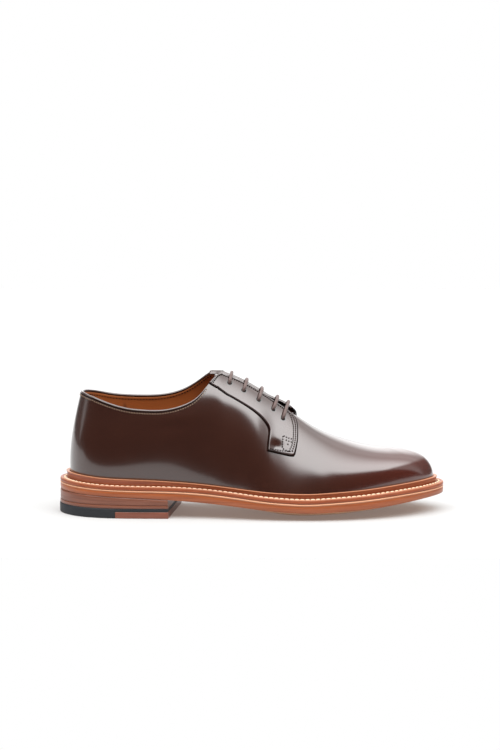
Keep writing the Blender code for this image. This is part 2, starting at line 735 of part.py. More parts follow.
def build_upper(parts, cutters):
    """Hollow upper, its facings, the tongue and the lace bars."""
    upper = surface_object("upper", shell_patches(), (False, True), parts, WALL)
    dress(upper, "upper_leather", UPPER_COLOUR, 0.3)
    for side, name in ((LATERAL, "eyestay_lateral"), (MEDIAL, "eyestay_medial")):
        cutter = hole_cutter(side, cutters)
        facing = surface_object(name, [facing_grid(side)], (side == LATERAL,), parts, EYESTAY_THICK)
        dress(facing, name + "_leather", UPPER_COLOUR, 0.3)
        cut(facing, cutter)
        cut(upper, cutter)
    tongue = surface_object("tongue", [tongue_grid()], (False,), parts, TONGUE_THICK)
    dress(tongue, "tongue_leather", UPPER_COLOUR, 0.35)
    for number, eyelet in enumerate(EYELETS, start=1):
        sections = tube_sections(bar_path(eyelet), LACE_RADIUS)
        bar = loft(f"lace_bar_{number}", sections, parts, caps=(True, True))
        dress(bar, f"lace_{number}_cotton", LACE_COLOUR, 0.7)


def clear_scene():
    """Remove what a new file starts with."""
    for obj in list(bpy.data.objects):
        bpy.data.objects.remove(obj, do_unlink=True)


def new_collection(name):
    """Collection linked to the scene."""
    collection = bpy.data.collections.new(name)
    bpy.context.scene.collection.children.link(collection)
    return collection


def main():
    """Build the shoe."""
    CENTRE[:] = shoe_centre()
    clear_scene()
    parts = new_collection("plain_toe_derby")
    cutters = new_collection("cutters")
    build_sole(parts)
    build_upper(parts, cutters)


main()
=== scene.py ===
"""Looks of a plain toe derby, right shoe, drawn on the same last as its solids.

Ribs rise from the feather line, where the upper stands on the sole, to the collar and to the ridge
over instep and vamp. Sizes are millimetres, measured from the back of the sole (x), the middle of
the heel (y, medial side positive) and the floor (z); meshes are placed in the frame's metres.
"""

import logging
import math
from dataclasses import dataclass, field
from enum import Enum
from typing import Callable, NamedTuple, Sequence

import bmesh
import bpy
import numpy as np
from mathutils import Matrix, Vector
from numpy.typing import NDArray


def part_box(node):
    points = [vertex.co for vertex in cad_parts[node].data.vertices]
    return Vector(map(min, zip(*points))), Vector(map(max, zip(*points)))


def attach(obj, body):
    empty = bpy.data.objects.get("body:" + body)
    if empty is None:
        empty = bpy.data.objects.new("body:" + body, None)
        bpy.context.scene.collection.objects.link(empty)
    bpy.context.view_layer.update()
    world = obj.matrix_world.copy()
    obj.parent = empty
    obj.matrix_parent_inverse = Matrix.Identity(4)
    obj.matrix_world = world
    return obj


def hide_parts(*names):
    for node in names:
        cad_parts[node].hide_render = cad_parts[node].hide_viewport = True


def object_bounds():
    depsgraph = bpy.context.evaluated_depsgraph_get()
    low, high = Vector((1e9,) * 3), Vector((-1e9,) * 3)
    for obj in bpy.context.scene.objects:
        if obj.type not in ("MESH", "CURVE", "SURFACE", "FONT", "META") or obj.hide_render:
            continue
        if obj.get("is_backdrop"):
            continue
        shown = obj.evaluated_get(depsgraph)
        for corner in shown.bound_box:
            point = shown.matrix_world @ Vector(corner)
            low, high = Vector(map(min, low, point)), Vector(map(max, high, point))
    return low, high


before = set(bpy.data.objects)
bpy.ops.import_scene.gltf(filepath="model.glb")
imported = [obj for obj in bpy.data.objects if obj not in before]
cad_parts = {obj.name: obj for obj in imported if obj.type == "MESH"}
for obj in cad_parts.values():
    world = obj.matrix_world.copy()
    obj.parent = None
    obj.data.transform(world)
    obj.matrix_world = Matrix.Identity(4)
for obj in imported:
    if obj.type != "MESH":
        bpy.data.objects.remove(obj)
CAD_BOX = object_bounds()

Array = NDArray[np.float64]
Faces = NDArray[np.int64]
Arrays = tuple[Array, Array]
Triple = tuple[Array, Array, Array]
Pair = tuple[float, float]
Colour = tuple[float, float, float, float]
Tree = bpy.types.NodeTree
Sockets = tuple[bpy.types.NodeSocket, bpy.types.NodeSocket]
Height = Callable[[Array, Array | float], Array]

LOG = logging.getLogger("derby")
MM = 0.001
BODY = "root"


class Side(Enum):
    """Outer and inner side of the foot."""

    LATERAL = -1
    MEDIAL = 1


class Section(NamedTuple):
    """One rib on each side: its foot, the welt beside it, its lean and its top."""

    foot_x: float
    foot_lat: float
    foot_med: float
    margin: float
    lip: float
    lean_lat: float
    lean_med: float
    foot_pull: float
    top_x: float
    top_lat: float
    top_med: float
    z_lat: float
    z_med: float
    top_lean: float
    top_pull: float


class SoleRow(NamedTuple):
    """One station of the outsole: lower edge, thickness, crown across it and medial arch."""

    x: float
    edge: float
    thick: float
    crown: float
    arch: float


class ToplineRow(NamedTuple):
    """One station of the collar's edge: its height on each side."""

    x: float
    z_lat: float
    z_med: float


class ThroatRow(NamedTuple):
    """Half gap of the throat at one section number."""

    at: float
    half: float


class Eyelet(NamedTuple):
    """One pair of eyelets: its section number and its distance from the throat's edge."""

    at: float
    set_back: float


class FacingRow(NamedTuple):
    """One rung of a facing: section numbers and distances down the rib of its two ends."""

    inner_at: float
    inner_down: float
    outer_at: float
    outer_down: float


class RimRow(NamedTuple):
    """One corner of a plate's rim: how far in it lies, and its share of the thickness."""

    inset: float
    share: float


class Crease(NamedTuple):
    """A soft trough (or ridge, with a negative depth) in the upper: place, turn, reach and depth."""

    side: Side
    x: float
    z: float
    turn: float
    long: float
    wide: float
    depth: float


class Stitch(NamedTuple):
    """One stitch of a row: distance to the next, length, width, height and turn in degrees."""

    pitch: float
    long: float
    wide: float
    tall: float
    slant: float = 0.0


class SeamRow(NamedTuple):
    """A path on a facing: distance from its edge, shares of the run at its ends, spread at the front."""

    offset: float
    start: float
    end: float
    spread: float = 0.0


class Ramp(NamedTuple):
    """A smooth change: low before its start, high after its end."""

    start: float
    end: float
    low: float
    high: float


# Heel back first, toe tip last
SECTIONS = tuple(Section(*row) for row in (
    (9.2, 0.0, 0.0, 8.2, 5.4, 4, 4, 28, 18.3, 0.0, 0.0, 96.5, 96.5, 76, 26),
    (13.2, -12.4, 12.4, 7.6, 5.4, 5, 5, 28, 21.0, -9.8, 9.8, 95.8, 96.0, 77, 26),
    (22.2, -22.2, 22.2, 6.9, 5.3, 7, 7, 28, 27.6, -17.6, 17.6, 93.8, 94.6, 79, 26),
    (36.0, -28.4, 28.2, 6.6, 5.0, 9, 9, 27, 38.4, -24.0, 23.8, 92.0, 93.6, 80, 26),
    (54.0, -31.0, 29.8, 6.6, 4.8, 9, 9, 26, 54.6, -28.0, 27.4, 89.2, 91.8, 79, 26),
    (73.0, -31.6, 29.0, 6.7, 4.4, 8, 10, 25.5, 73.5, -29.0, 27.6, 89.6, 93.0, 75, 25),
    (91.0, -32.3, 27.3, 6.5, 3.8, 6.5, 12, 25, 92.0, -26.4, 25.2, 96.0, 99.0, 65, 25),
    (106.0, -33.6, 26.3, 6.4, 3.4, 5.5, 14, 24.5, 107.0, -20.0, 19.4, 105.6, 107.6, 48, 25),
    (118.0, -35.0, 26.1, 6.4, 3.2, 5, 15, 24, 118.0, -12.0, 11.8, 111.8, 112.6, 28, 27.5),
    (127.0, -36.3, 26.7, 6.5, 3.1, 4.5, 15, 23.5, 125.2, -4.8, 4.8, 113.0, 113.2, 10, 31),
    (135.0, -37.5, 27.7, 6.7, 3.1, 4, 15, 23, 131.6, 0.0, 0.0, 110.3, 110.3, 2, 34),
    (145.0, -39.0, 29.3, 7.0, 3.1, 4, 14, 22, 142.6, 0.0, 0.0, 105.4, 105.4, 0, 34),
    (158.0, -41.4, 32.4, 7.0, 3.2, 4, 13, 16.5, 157.2, 0.0, 0.0, 97.5, 97.5, 0, 31.5),
    (173.0, -43.6, 37.3, 6.7, 3.4, 2.5, 9, 9, 173.0, 0.2, 0.2, 87.6, 87.6, 0, 22.5),
    (189.0, -44.3, 41.9, 7.0, 3.6, 4, 7, 10, 189.0, 0.6, 0.6, 75.6, 75.6, 0, 24),
    (207.0, -43.0, 44.7, 8.0, 3.6, 7, 7, 16, 206.0, 1.5, 1.5, 64.9, 64.9, 0, 30),
    (226.0, -40.6, 45.8, 8.1, 3.6, 8, 7, 22, 224.0, 3.0, 3.0, 57.4, 57.4, 0, 32),
    (245.0, -35.6, 43.8, 8.3, 3.7, 7, 6, 25, 240.0, 4.2, 4.2, 52.7, 52.7, 0, 32),
    (263.5, -28.0, 38.7, 8.4, 3.9, 6, 5, 25, 252.0, 5.2, 5.2, 50.4, 50.4, 0, 30),
    (280.5, -17.3, 30.3, 8.2, 4.1, 5, 4, 23.5, 259.5, 5.8, 5.8, 49.7, 49.7, 0, 25.5),
    (292.6, -5.0, 19.6, 7.9, 4.3, 4, 4, 22.5, 264.0, 6.3, 6.3, 49.3, 49.3, 0, 21),
    (298.3, 7.5, 7.5, 7.7, 4.4, 3, 3, 23, 266.0, 6.5, 6.5, 49.1, 49.1, 0, 19),
))

SOLE = tuple(SoleRow(*row) for row in (
    (-4.0, 18.9, 5.9, 0.0, 0.0),
    (45.0, 16.5, 5.7, 0.0, 0.0),
    (90.0, 14.3, 7.0, 0.0, 0.0),
    (105.0, 13.3, 7.4, 0.3, 0.5),
    (120.0, 12.2, 7.5, 1.0, 1.2),
    (138.0, 10.5, 7.4, 2.4, 1.4),
    (160.0, 8.2, 7.2, 4.8, 0.8),
    (182.0, 6.4, 7.3, 7.5, 0.1),
    (200.0, 5.9, 7.5, 7.5, 0.0),
    (215.0, 6.5, 7.7, 7.6, 0.0),
    (232.0, 7.4, 7.8, 6.9, 0.0),
    (252.0, 8.9, 7.7, 5.0, 0.0),
    (272.0, 11.1, 7.0, 2.8, 0.0),
    (290.0, 12.9, 6.1, 1.0, 0.0),
    (306.0, 13.8, 5.7, 0.0, 0.0),
))

TOPLINE = tuple(ToplineRow(*row) for row in (
    (14.0, 97.0, 97.0),
    (17.5, 96.5, 96.5),
    (27.0, 94.1, 94.6),
    (39.0, 90.2, 91.7),
    (55.0, 86.0, 89.9),
    (71.0, 84.5, 89.6),
    (83.0, 84.6, 90.5),
    (95.0, 86.8, 93.5),
    (104.0, 90.1, 97.8),
    (112.0, 95.5, 103.4),
    (119.0, 103.4, 108.8),
    (124.0, 108.2, 111.1),
    (128.0, 110.8, 112.4),
    (134.0, 114.3, 114.9),
))

THROAT = tuple(ThroatRow(*row) for row in (
    (8.2, 16.2),
    (8.55, 15.3),
    (8.9, 14.0),
    (9.3, 11.8),
    (9.6, 10.2),
    (9.9, 9.1),
    (10.4, 8.4),
    (13.2, 6.6),
    (13.6, 5.4),
    (13.85, 3.2),
    (14.0, 0.0),
))

EYELETS = tuple(Eyelet(*row) for row in (
    (10.25, 8.6),
    (11.2, 10.4),
    (12.0, 11.2),
    (12.74, 10.1),
    (13.24, 12.6),
))

# From the collar down to the lower edge of the tab
FACING = tuple(FacingRow(*row) for row in (
    (9.45, 0, 8.18, 0),
    (10.2, 0, 9.12, 13.5),
    (11.2, 0, 10.3, 20.2),
    (12.2, 0, 11.25, 22.3),
    (13.1, 0, 11.95, 23.3),
    (13.6, 1.5, 12.37, 25.2),
    (13.87, 7.5, 12.58, 29.2),
    (13.96, 18, 12.57, 36),
    (13.95, 30, 12.53, 42.5),
    (13.82, 40.7, 12.51, 46.8),
))

CREASES = tuple(Crease(*row) for row in (
    (Side.LATERAL, 92.0, 71.0, 4.0, 17.0, 5.0, 0.55),
    (Side.LATERAL, 96.0, 78.5, 6.0, 18.0, 4.0, -0.25),
    (Side.LATERAL, 138.0, 91.0, -27.0, 22.0, 8.0, -0.5),
    (Side.LATERAL, 168.0, 56.0, -70.0, 14.0, 5.0, 0.35),
    (Side.LATERAL, 206.0, 46.0, -62.0, 18.0, 6.0, 0.3),
    (Side.MEDIAL, 88.0, 72.0, -5.0, 18.0, 6.0, 0.4),
    (Side.MEDIAL, 206.0, 46.0, -62.0, 18.0, 6.0, 0.3),
))

# Columns of the section table as it is read for one side, and of the sole's table
FOOT, MARGIN, LIP, LEAN, FOOT_PULL = slice(0, 2), 2, 3, 4, 5
TOP, TOP_X, TOP_Z, TOP_LEAN, TOP_PULL = slice(6, 9), 6, 8, 9, 10
EDGE, THICK, CROWN, ARCH = range(4)

LAST_ROW = len(SECTIONS) - 1
RIDGE_ROW = 10
CLOSED_ROW = 13
THROAT_END = 14.0
FAR = 99.0
# Points closer than this, in metres, are joined, and edges shorter than the second are closed up
WELD, SLIVER = 1e-6, 1e-7
# Keeps a place at the end of a table inside its last cell
TABLE_END = 1.000001


def smooth_step(low: float, high: float, value: Array) -> Array:
    """0 below low, 1 above high, and 3u^2 - 2u^3 between them.

    Args:
        low: Where the rise begins.
        high: Where it ends.
        value: Places to read.

    Returns:
        The step at each place.
    """
    u = np.clip((np.asarray(value, float) - low) / (high - low), 0, 1)
    return u * u * (3 - 2 * u)


def bell(middle: float, width: float, value: Array) -> Array:
    """Bell curve exp(-((value - middle) / width)^2).

    Args:
        middle: Place of the top.
        width: Distance at which it has fallen to 1/e.
        value: Places to read.

    Returns:
        The curve at each place.
    """
    return np.exp(-(((np.asarray(value, float) - middle) / width) ** 2))


def unit(vectors: Array) -> Array:
    """Vectors scaled to length one."""
    return vectors / np.linalg.norm(vectors, axis=-1, keepdims=True)


def rounded(distance: Array, radius: float) -> Array:
    """Quarter round sqrt(1 - (1 - distance / radius)^2): 0 at an edge, 1 from the radius on."""
    return np.sqrt(1 - (1 - np.clip(distance / radius, 0, 1)) ** 2)


def travelled(points: Array, axis: int = 0) -> Array:
    """Distances along a path, or along the lines of a grid, from its first point.

    Args:
        points: Points; the last axis is x, y and z.
        axis: Axis to go along.

    Returns:
        Distances, the first of them 0.
    """
    steps = np.linalg.norm(np.diff(points, axis=axis), axis=-1)
    return np.cumsum(np.insert(steps, 0, 0.0, axis=axis), axis=axis)


def between(spots: Array, length: Array, rows: Array) -> Array:
    """Rows of numbers at spots along a length, read straight between the given ones."""
    return np.stack([np.interp(spots, length, column) for column in rows.T], axis=-1)


class LoopSpline:
    """Closed curve through rows: cubic pieces that agree in slope and bend at every row."""

    def __init__(self, rows: Array) -> None:
        """Solve for the bend at each row.

        Args:
            rows: One row of columns for each whole number.
        """
        ones = np.eye(len(rows))
        band = 4 * ones + np.roll(ones, 1, axis=0) + np.roll(ones, -1, axis=0)
        second = np.roll(rows, -1, axis=0) - 2 * rows + np.roll(rows, 1, axis=0)
        self.rows = rows
        self.bend = np.linalg.solve(band, 6 * second)

    def at(self, place: Array) -> Array:
        """Columns at places between the rows.

        Args:
            place: Row numbers, whole or not.

        Returns:
            Columns, one more axis than place.
        """
        place = np.asarray(place, float)
        whole = np.floor(place).astype(int)
        f = (place - whole)[..., None]
        g = 1 - f
        low = whole % len(self.rows)
        high = (whole + 1) % len(self.rows)
        curve = ((g**3 - g) * self.bend[low] + (f**3 - f) * self.bend[high]) / 6
        return self.rows[low] * g + self.rows[high] * f + curve


class OpenSpline:
    """Curve through values at knots: cubic pieces, straight at both ends."""

    def __init__(self, knots: Sequence[float], values: Sequence) -> None:
        """Solve for the bend at each knot.

        Args:
            knots: Rising places.
            values: A number, or a row of numbers, at each place.
        """
        self.knots = np.asarray(knots, float)
        self.values = np.asarray(values, float).reshape(len(self.knots), -1)
        self.flat = np.ndim(values) == 1
        span = np.diff(self.knots)
        slope = np.diff(self.values, axis=0) / span[:, None]
        band = np.eye(len(self.knots))
        push = np.zeros_like(self.values)
        inner = np.arange(1, len(self.knots) - 1)
        band[inner, inner - 1] = span[:-1]
        band[inner, inner] = 2 * (span[:-1] + span[1:])
        band[inner, inner + 1] = span[1:]
        push[inner] = 6 * (slope[1:] - slope[:-1])
        self.span = span
        self.bend = np.linalg.solve(band, push)

    def at(self, place: Array) -> Array:
        """Values at places along the knots.

        Args:
            place: Places to read.

        Returns:
            Numbers, or rows of numbers, at each place.
        """
        place = np.asarray(place, float)
        i = np.clip(np.searchsorted(self.knots, place) - 1, 0, len(self.span) - 1)
        span = self.span[i][..., None]
        right = (place - self.knots[i])[..., None]
        left = span - right
        cubic = (self.bend[i] * left**3 + self.bend[i + 1] * right**3) / (6 * span)
        start = (self.values[i] / span - self.bend[i] * span / 6) * left
        end = (self.values[i + 1] / span - self.bend[i + 1] * span / 6) * right
        whole = cubic + start + end
        return whole[..., 0] if self.flat else whole


@dataclass
class Last:
    """The shoe's form. w is a section number from heel back to toe tip, t the share up its rib."""

    seat_gap: float = 0.45
    seat_end: float = 95.0
    seat_blend: float = 12.0
    level_rim: float = 0.62
    step: float = 1e-3
    outline_points: int = 2101
    edge_points: int = 201

    def __post_init__(self) -> None:
        """Work out the curves through the tables."""
        lateral = [(s.foot_x, s.foot_lat, s.margin, s.lip, s.lean_lat, s.foot_pull,
                    s.top_x, s.top_lat, s.z_lat, s.top_lean, s.top_pull) for s in SECTIONS]
        medial = [(s.foot_x, s.foot_med, s.margin, s.lip, s.lean_med, s.foot_pull,
                   s.top_x, s.top_med, s.z_med, s.top_lean, s.top_pull) for s in SECTIONS[-2:0:-1]]
        self.loop = LoopSpline(np.array(lateral + medial, float))
        self.sole = OpenSpline([row.x for row in SOLE], [row[1:] for row in SOLE])
        stations = [row.x for row in TOPLINE]
        self.collar = {Side.LATERAL: OpenSpline(stations, [row.z_lat for row in TOPLINE]),
                       Side.MEDIAL: OpenSpline(stations, [row.z_med for row in TOPLINE])}
        self.throat = OpenSpline([row.at for row in THROAT], [row.half for row in THROAT])
        toe = self.outline(Side.MEDIAL, np.linspace(0, LAST_ROW, self.outline_points))
        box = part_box("outsole")[1]
        self.centre = np.array((toe[:, 0].max() - box.x / MM, toe[:, 1].max() - box.y / MM, 0.0))

    def columns(self, side: Side, w: Array) -> Array:
        """Columns of the section table at section numbers w."""
        w = np.asarray(w, float)
        return self.loop.at(w if side is Side.LATERAL else 2 * LAST_ROW - w)

    def sole_lift(self, x: Array, v: Array | float, level_from: float) -> Array:
        """Crown and arch: how far the sole lies above its lateral edge.

        Args:
            x: Places along the shoe.
            v: Places across it, -1 lateral to 1 medial.
            level_from: Share of the half width from which the sole is level.

        Returns:
            Lift: arch * v^2 on the medial side less crown * (1 - (v / level_from)^2).
        """
        past_heel = np.clip((x - self.seat_end) / self.seat_blend, 0, 1)
        columns = np.maximum(self.sole.at(x), 0)
        inward = np.minimum(np.abs(v) / level_from, 1)
        hollow = columns[..., CROWN] * (1 - inward**2)
        arch = columns[..., ARCH] * np.maximum(v, 0) ** 2
        return (arch - hollow) * past_heel

    def sole_bottom(self, x: Array, v: Array | float) -> Array:
        """Underside of the outsole, flat where it would reach below the floor."""
        return np.maximum(self.sole.at(x)[..., EDGE] + self.sole_lift(x, v, 1.0), 0.0)

    def sole_top(self, x: Array, v: Array | float) -> Array:
        """Top of the outsole: hollow in the middle, level under wall and welt."""
        columns = self.sole.at(x)
        return columns[..., EDGE] + columns[..., THICK] + self.sole_lift(x, v, self.level_rim)

    def feather(self, side: Side, w: Array) -> Arrays:
        """Foot of the ribs in plan and the direction straight out from it.

        Args:
            side: Side of the shoe.
            w: Section numbers.

        Returns:
            Plan points and unit plan directions.
        """
        w = np.asarray(w, float)
        foot = self.columns(side, w)[..., FOOT]
        along = self.columns(side, w + self.step)[..., FOOT] - self.columns(side, w - self.step)[..., FOOT]
        return foot, unit(np.stack((along[..., 1], -along[..., 0]), axis=-1) * -side.value)

    def outline(self, side: Side, w: Array, beyond: Array | None = None) -> Array:
        """Plan curve that stays a distance outside the feather line.

        Args:
            side: Side of the shoe.
            w: Section numbers.
            beyond: Distances; the sole's margin if left out.

        Returns:
            Plan points.
        """
        foot, out = self.feather(side, w)
        if beyond is None:
            beyond = self.columns(side, w)[..., MARGIN]
        return foot + out * np.asarray(beyond)[..., None]

    def ridge_slope(self, w: Array) -> Array:
        """Slope of the ridge at section numbers w; none along the collar."""
        tops = self.loop.rows[RIDGE_ROW:LAST_ROW + 1]
        slopes = np.gradient(tops[:, TOP_Z], tops[:, TOP_X])
        return np.interp(w, np.arange(RIDGE_ROW, LAST_ROW + 1), slopes) * np.clip(w - RIDGE_ROW + 1, 0, 1)

    def rib(self, side: Side, w: Array, t: Array) -> Array:
        """Outside of the upper: cubic ribs with corners foot, low, high and top.

        Args:
            side: Side of the shoe.
            w: Section numbers.
            t: Shares up the rib.

        Returns:
            Points s^3 foot + 3 s^2 t low + 3 s t^2 high + t^3 top, with s = 1 - t.
        """
        w, t = np.broadcast_arrays(np.asarray(w, float), np.asarray(t, float))
        here = self.columns(side, w)
        other = Side.MEDIAL if side is Side.LATERAL else Side.LATERAL
        closed = (w >= CLOSED_ROW)[..., None]
        both = (here[..., TOP] + self.columns(other, w)[..., TOP]) / 2
        top = np.where(closed, both, here[..., TOP])
        foot_xy, out = self.feather(side, w)
        foot_z = self.sole_top(foot_xy[..., 0], side.value) + self.seat_gap
        foot = np.concatenate((foot_xy, foot_z[..., None]), axis=-1)
        lean = np.radians(here[..., LEAN])[..., None]
        rise = np.concatenate((out * np.sin(lean), np.cos(lean)), axis=-1)
        away = unit(foot_xy - top[..., :2])
        tilt = np.radians(np.where(w >= CLOSED_ROW, 0.0, np.maximum(here[..., TOP_LEAN], 0)))[..., None]
        dip = away[..., :1] * self.ridge_slope(w)[..., None] * np.cos(tilt) - np.sin(tilt)
        leave = np.concatenate((away * np.cos(tilt), dip), axis=-1)
        low = foot + rise * here[..., FOOT_PULL, None]
        high = top + leave * here[..., TOP_PULL, None]
        t = t[..., None]
        s = 1 - t
        return s**3 * foot + 3 * s**2 * t * low + 3 * s * t**2 * high + t**3 * top

    def normal(self, side: Side, w: Array, t: Array) -> Array:
        """Unit normals of the upper's outside: cross product of its two slopes."""
        w, t = np.broadcast_arrays(np.asarray(w, float), np.asarray(t, float))
        t = np.clip(t, self.step, 1 - self.step)
        along = self.rib(side, w + self.step, t) - self.rib(side, w - self.step, t)
        up = self.rib(side, w, t + self.step) - self.rib(side, w, t - self.step)
        return unit(np.cross(along, up) * -side.value)

    def wall_share(self, side: Side, w: Array) -> Array:
        """Share of each rib that the wall covers: up to the throat or the collar, whichever is lower.

        Args:
            side: Side of the shoe.
            w: Section numbers, a flat array.

        Returns:
            Shares, one for each section.
        """
        t = np.linspace(0.5, 1.0, self.edge_points)
        points = self.rib(side, w[:, None], t[None, :])
        ridge = self.rib(side, np.maximum(w, RIDGE_ROW), np.ones_like(w))[:, 1]
        reach = np.abs(points[..., 1] - ridge[:, None])
        open_here = (w >= THROAT[0].at) & (w < THROAT_END)
        half = np.where(open_here, np.maximum(self.throat.at(w), 0), 0)
        edge = points[..., 2] - self.collar[side].at(points[..., 0])
        throat = np.array([np.interp(-h, -r, t) for h, r in zip(half, reach)])
        collar = np.array([np.interp(0.0, e, t) for e in edge])
        throat = np.where(half > 0, throat, 1.0)
        return np.minimum(throat, np.where(w > RIDGE_ROW, 1.0, collar))


@dataclass
class Chart:
    """Flat map of one side of the upper: section number w and distance down the rib from its edge."""

    last: Last
    side: Side
    deepest: float = 90.0
    rows: int = 841
    columns: int = 181
    rib_points: int = 121

    def __post_init__(self) -> None:
        """Measure the ribs and turn the table round, so that it gives t for a distance."""
        w = np.linspace(0, LAST_ROW, self.rows)
        down = np.linspace(0, self.deepest, self.columns)
        edge = self.last.wall_share(self.side, w)
        t = edge[:, None] * np.linspace(1, 0, self.rib_points)[None, :]
        length = travelled(self.last.rib(self.side, w[:, None], t), axis=1)
        self.table = np.array([np.interp(down, row, share) for row, share in zip(length, t)])

    def share(self, w: Array, down: Array) -> Array:
        """Share up the rib at a distance below its edge, read between the table's places.

        Args:
            w: Section numbers.
            down: Distances from the edge.

        Returns:
            Shares t.
        """
        w, down = np.broadcast_arrays(np.asarray(w, float), np.asarray(down, float))
        a = np.clip(w / LAST_ROW * (self.rows - 1), 0, self.rows - TABLE_END)
        b = np.clip(down / self.deepest * (self.columns - 1), 0, self.columns - TABLE_END)
        i, j = a.astype(int), b.astype(int)
        f, g = a - i, b - j
        near = self.table[i, j] * (1 - g) + self.table[i, j + 1] * g
        far = self.table[i + 1, j] * (1 - g) + self.table[i + 1, j + 1] * g
        return near * (1 - f) + far * f

    def point(self, w: Array, down: Array, above: Array | float = 0.0) -> Array:
        """Points above the wall.

        Args:
            w: Section numbers.
            down: Distances from the edge.
            above: Heights along the normal.

        Returns:
            Points.
        """
        t = self.share(w, down)
        lift = np.broadcast_to(np.asarray(above, float), t.shape)[..., None]
        return self.last.rib(self.side, w, t) + self.last.normal(self.side, w, t) * lift

    def normal(self, w: Array, down: Array) -> Array:
        """Unit normals at places of the chart."""
        return self.last.normal(self.side, w, self.share(w, down))


@dataclass
class Shape:
    """Points in millimetres, faces as rows of point numbers, and named values at the points."""

    points: Array
    faces: list[Faces]
    values: dict[str, Array] = field(default_factory=dict)


def grid_quads(rows: int, columns: int, around: bool = False) -> Faces:
    """Quads of a grid whose points are listed row by row.

    Args:
        rows: Number of rows.
        columns: Number of points in a row.
        around: Whether each row closes on itself.

    Returns:
        Quads.
    """
    i = np.arange(rows - 1)[:, None]
    j = np.arange(columns if around else columns - 1)[None, :]
    k = (j + 1) % columns
    here, after = i * columns, (i + 1) * columns
    return np.stack((here + j, after + j, after + k, here + k), axis=-1).reshape(-1, 4)


def closed_shell(outer: Array, inner: Array, quads: Faces, values: dict[str, Array]) -> Shape:
    """Body between two skins that share one grid: both skins, and a wall along every free edge.

    Args:
        outer: Points of the outer skin; those that coincide are joined.
        inner: Points of the inner skin, in the same order.
        quads: Quads of the outer skin.
        values: Named values at the outer points, repeated on the inner ones.

    Returns:
        The closed shape.
    """
    _, first, where = np.unique(np.round(outer, 3), axis=0, return_index=True, return_inverse=True)
    quads = where.reshape(-1)[quads]
    count = len(first)
    starts = quads.reshape(-1)
    ends = np.roll(quads, -1, axis=1).reshape(-1)
    real = starts != ends
    starts, ends = starts[real], ends[real]
    keys = np.minimum(starts, ends) * count + np.maximum(starts, ends)
    _, back, times = np.unique(keys, return_inverse=True, return_counts=True)
    free = times[back.reshape(-1)] == 1
    a, b = starts[free], ends[free]
    wall = np.stack((b, a, a + count, b + count), axis=-1)
    points = np.concatenate((outer[first], inner[first]))
    doubled = {name: np.concatenate((column[first], column[first])) for name, column in values.items()}
    return Shape(points, [quads, quads[:, ::-1] + count, wall], doubled)


def loft(sections: Array, caps: tuple[bool, bool] = (False, False), joined: bool = False) -> Shape:
    """Body through closed sections that have the same number of points.

    Args:
        sections: Points by section, place in the section and axis.
        caps: Whether the first and the last section are closed by a face.
        joined: Whether the last section runs on into the first.

    Returns:
        The shape.
    """
    count, around = sections.shape[:2]
    if joined:
        quads = grid_quads(count + 1, around, True) % (count * around)
    else:
        quads = grid_quads(count, around, True)
    faces = [quads]
    if caps[0]:
        faces.append(np.arange(around)[None, ::-1])
    if caps[1]:
        faces.append((np.arange(around) + (count - 1) * around)[None, :])
    return Shape(sections.reshape(-1, 3), faces)


def plain_faces(faces: Sequence[Faces]) -> list[list[int]]:
    """Faces without repeated points: a quad with two equal corners becomes a triangle.

    Args:
        faces: Arrays of faces.

    Returns:
        Faces as lists.
    """
    plain: list[list[int]] = []
    for block in faces:
        if block.shape[1] != 4:
            plain += block.tolist()
            continue
        same = block == np.roll(block, -1, axis=1)
        plain += block[~same.any(axis=1)].tolist()
        once = same.sum(axis=1) == 1
        keep = ~same[once]
        plain += block[once][keep].reshape(-1, 3).tolist()
    return plain


def piece(name: str, shape: Shape, centre: Array, sharp: float) -> bpy.types.Object:
    """Object at the origin from a shape in the shoe's millimetres, smooth but for sharp edges.

    Args:
        name: Name of the piece.
        shape: Its points and faces.
        centre: Place of the frame's origin in the shoe's millimetres.
        sharp: Angle in degrees above which an edge stays sharp.

    Returns:
        The object, closed and facing outwards.
    """
    mesh = bpy.data.meshes.new(name)
    mesh.from_pydata(((shape.points - centre) * MM).tolist(), [], plain_faces(shape.faces))
    for label, column in shape.values.items():
        mesh.attributes.new(label, "FLOAT", "POINT").data.foreach_set("value", column.astype(np.float32))
    solid = bmesh.new()
    solid.from_mesh(mesh)
    bmesh.ops.remove_doubles(solid, verts=solid.verts, dist=WELD)
    bmesh.ops.dissolve_degenerate(solid, edges=solid.edges, dist=SLIVER)
    bmesh.ops.recalc_face_normals(solid, faces=solid.faces)
    solid.to_mesh(mesh)
    solid.free()
    mesh.shade_smooth()
    mesh.set_sharp_from_angle(angle=math.radians(sharp))
    made = bpy.data.objects.new(name, mesh)
    bpy.context.scene.collection.objects.link(made)
    return made


def linear(code: str) -> Colour:
    """Linear colour of an sRGB hex code such as "#aa8866".

    Args:
        code: The hex code.

    Returns:
        Red, green, blue and an alpha of 1.
    """
    parts = np.array([int(code[i:i + 2], 16) for i in (1, 3, 5)]) / 255
    curve = np.where(parts <= 0.04045, parts / 12.92, ((parts + 0.055) / 1.055) ** 2.4)
    return (float(curve[0]), float(curve[1]), float(curve[2]), 1.0)


def add(tree: Tree, kind: str, links: dict, **settings: object) -> bpy.types.Node:
    """Add a node with its settings; a link's value is a socket to join or a constant to set.

    Args:
        tree: The material's nodes.
        kind: The node's type, without the ShaderNode that it begins with.
        links: Input name or number to socket or constant.
        settings: Properties of the node.

    Returns:
        The node.
    """
    made = tree.nodes.new("ShaderNode" + kind)
    for name, value in settings.items():
        setattr(made, name, value)
    for name, value in links.items():
        if isinstance(value, bpy.types.NodeSocket):
            tree.links.new(value, made.inputs[name])
        else:
            made.inputs[name].default_value = value
    return made


def per_metre(size_mm: float) -> float:
    """Pattern scale for features of a size in millimetres."""
    return 1 / (size_mm * MM)


# Sockets of a colour mix by number, because three kinds of mix share their names
SHARE, FIRST, SECOND, MIXED = 0, 6, 7, 2


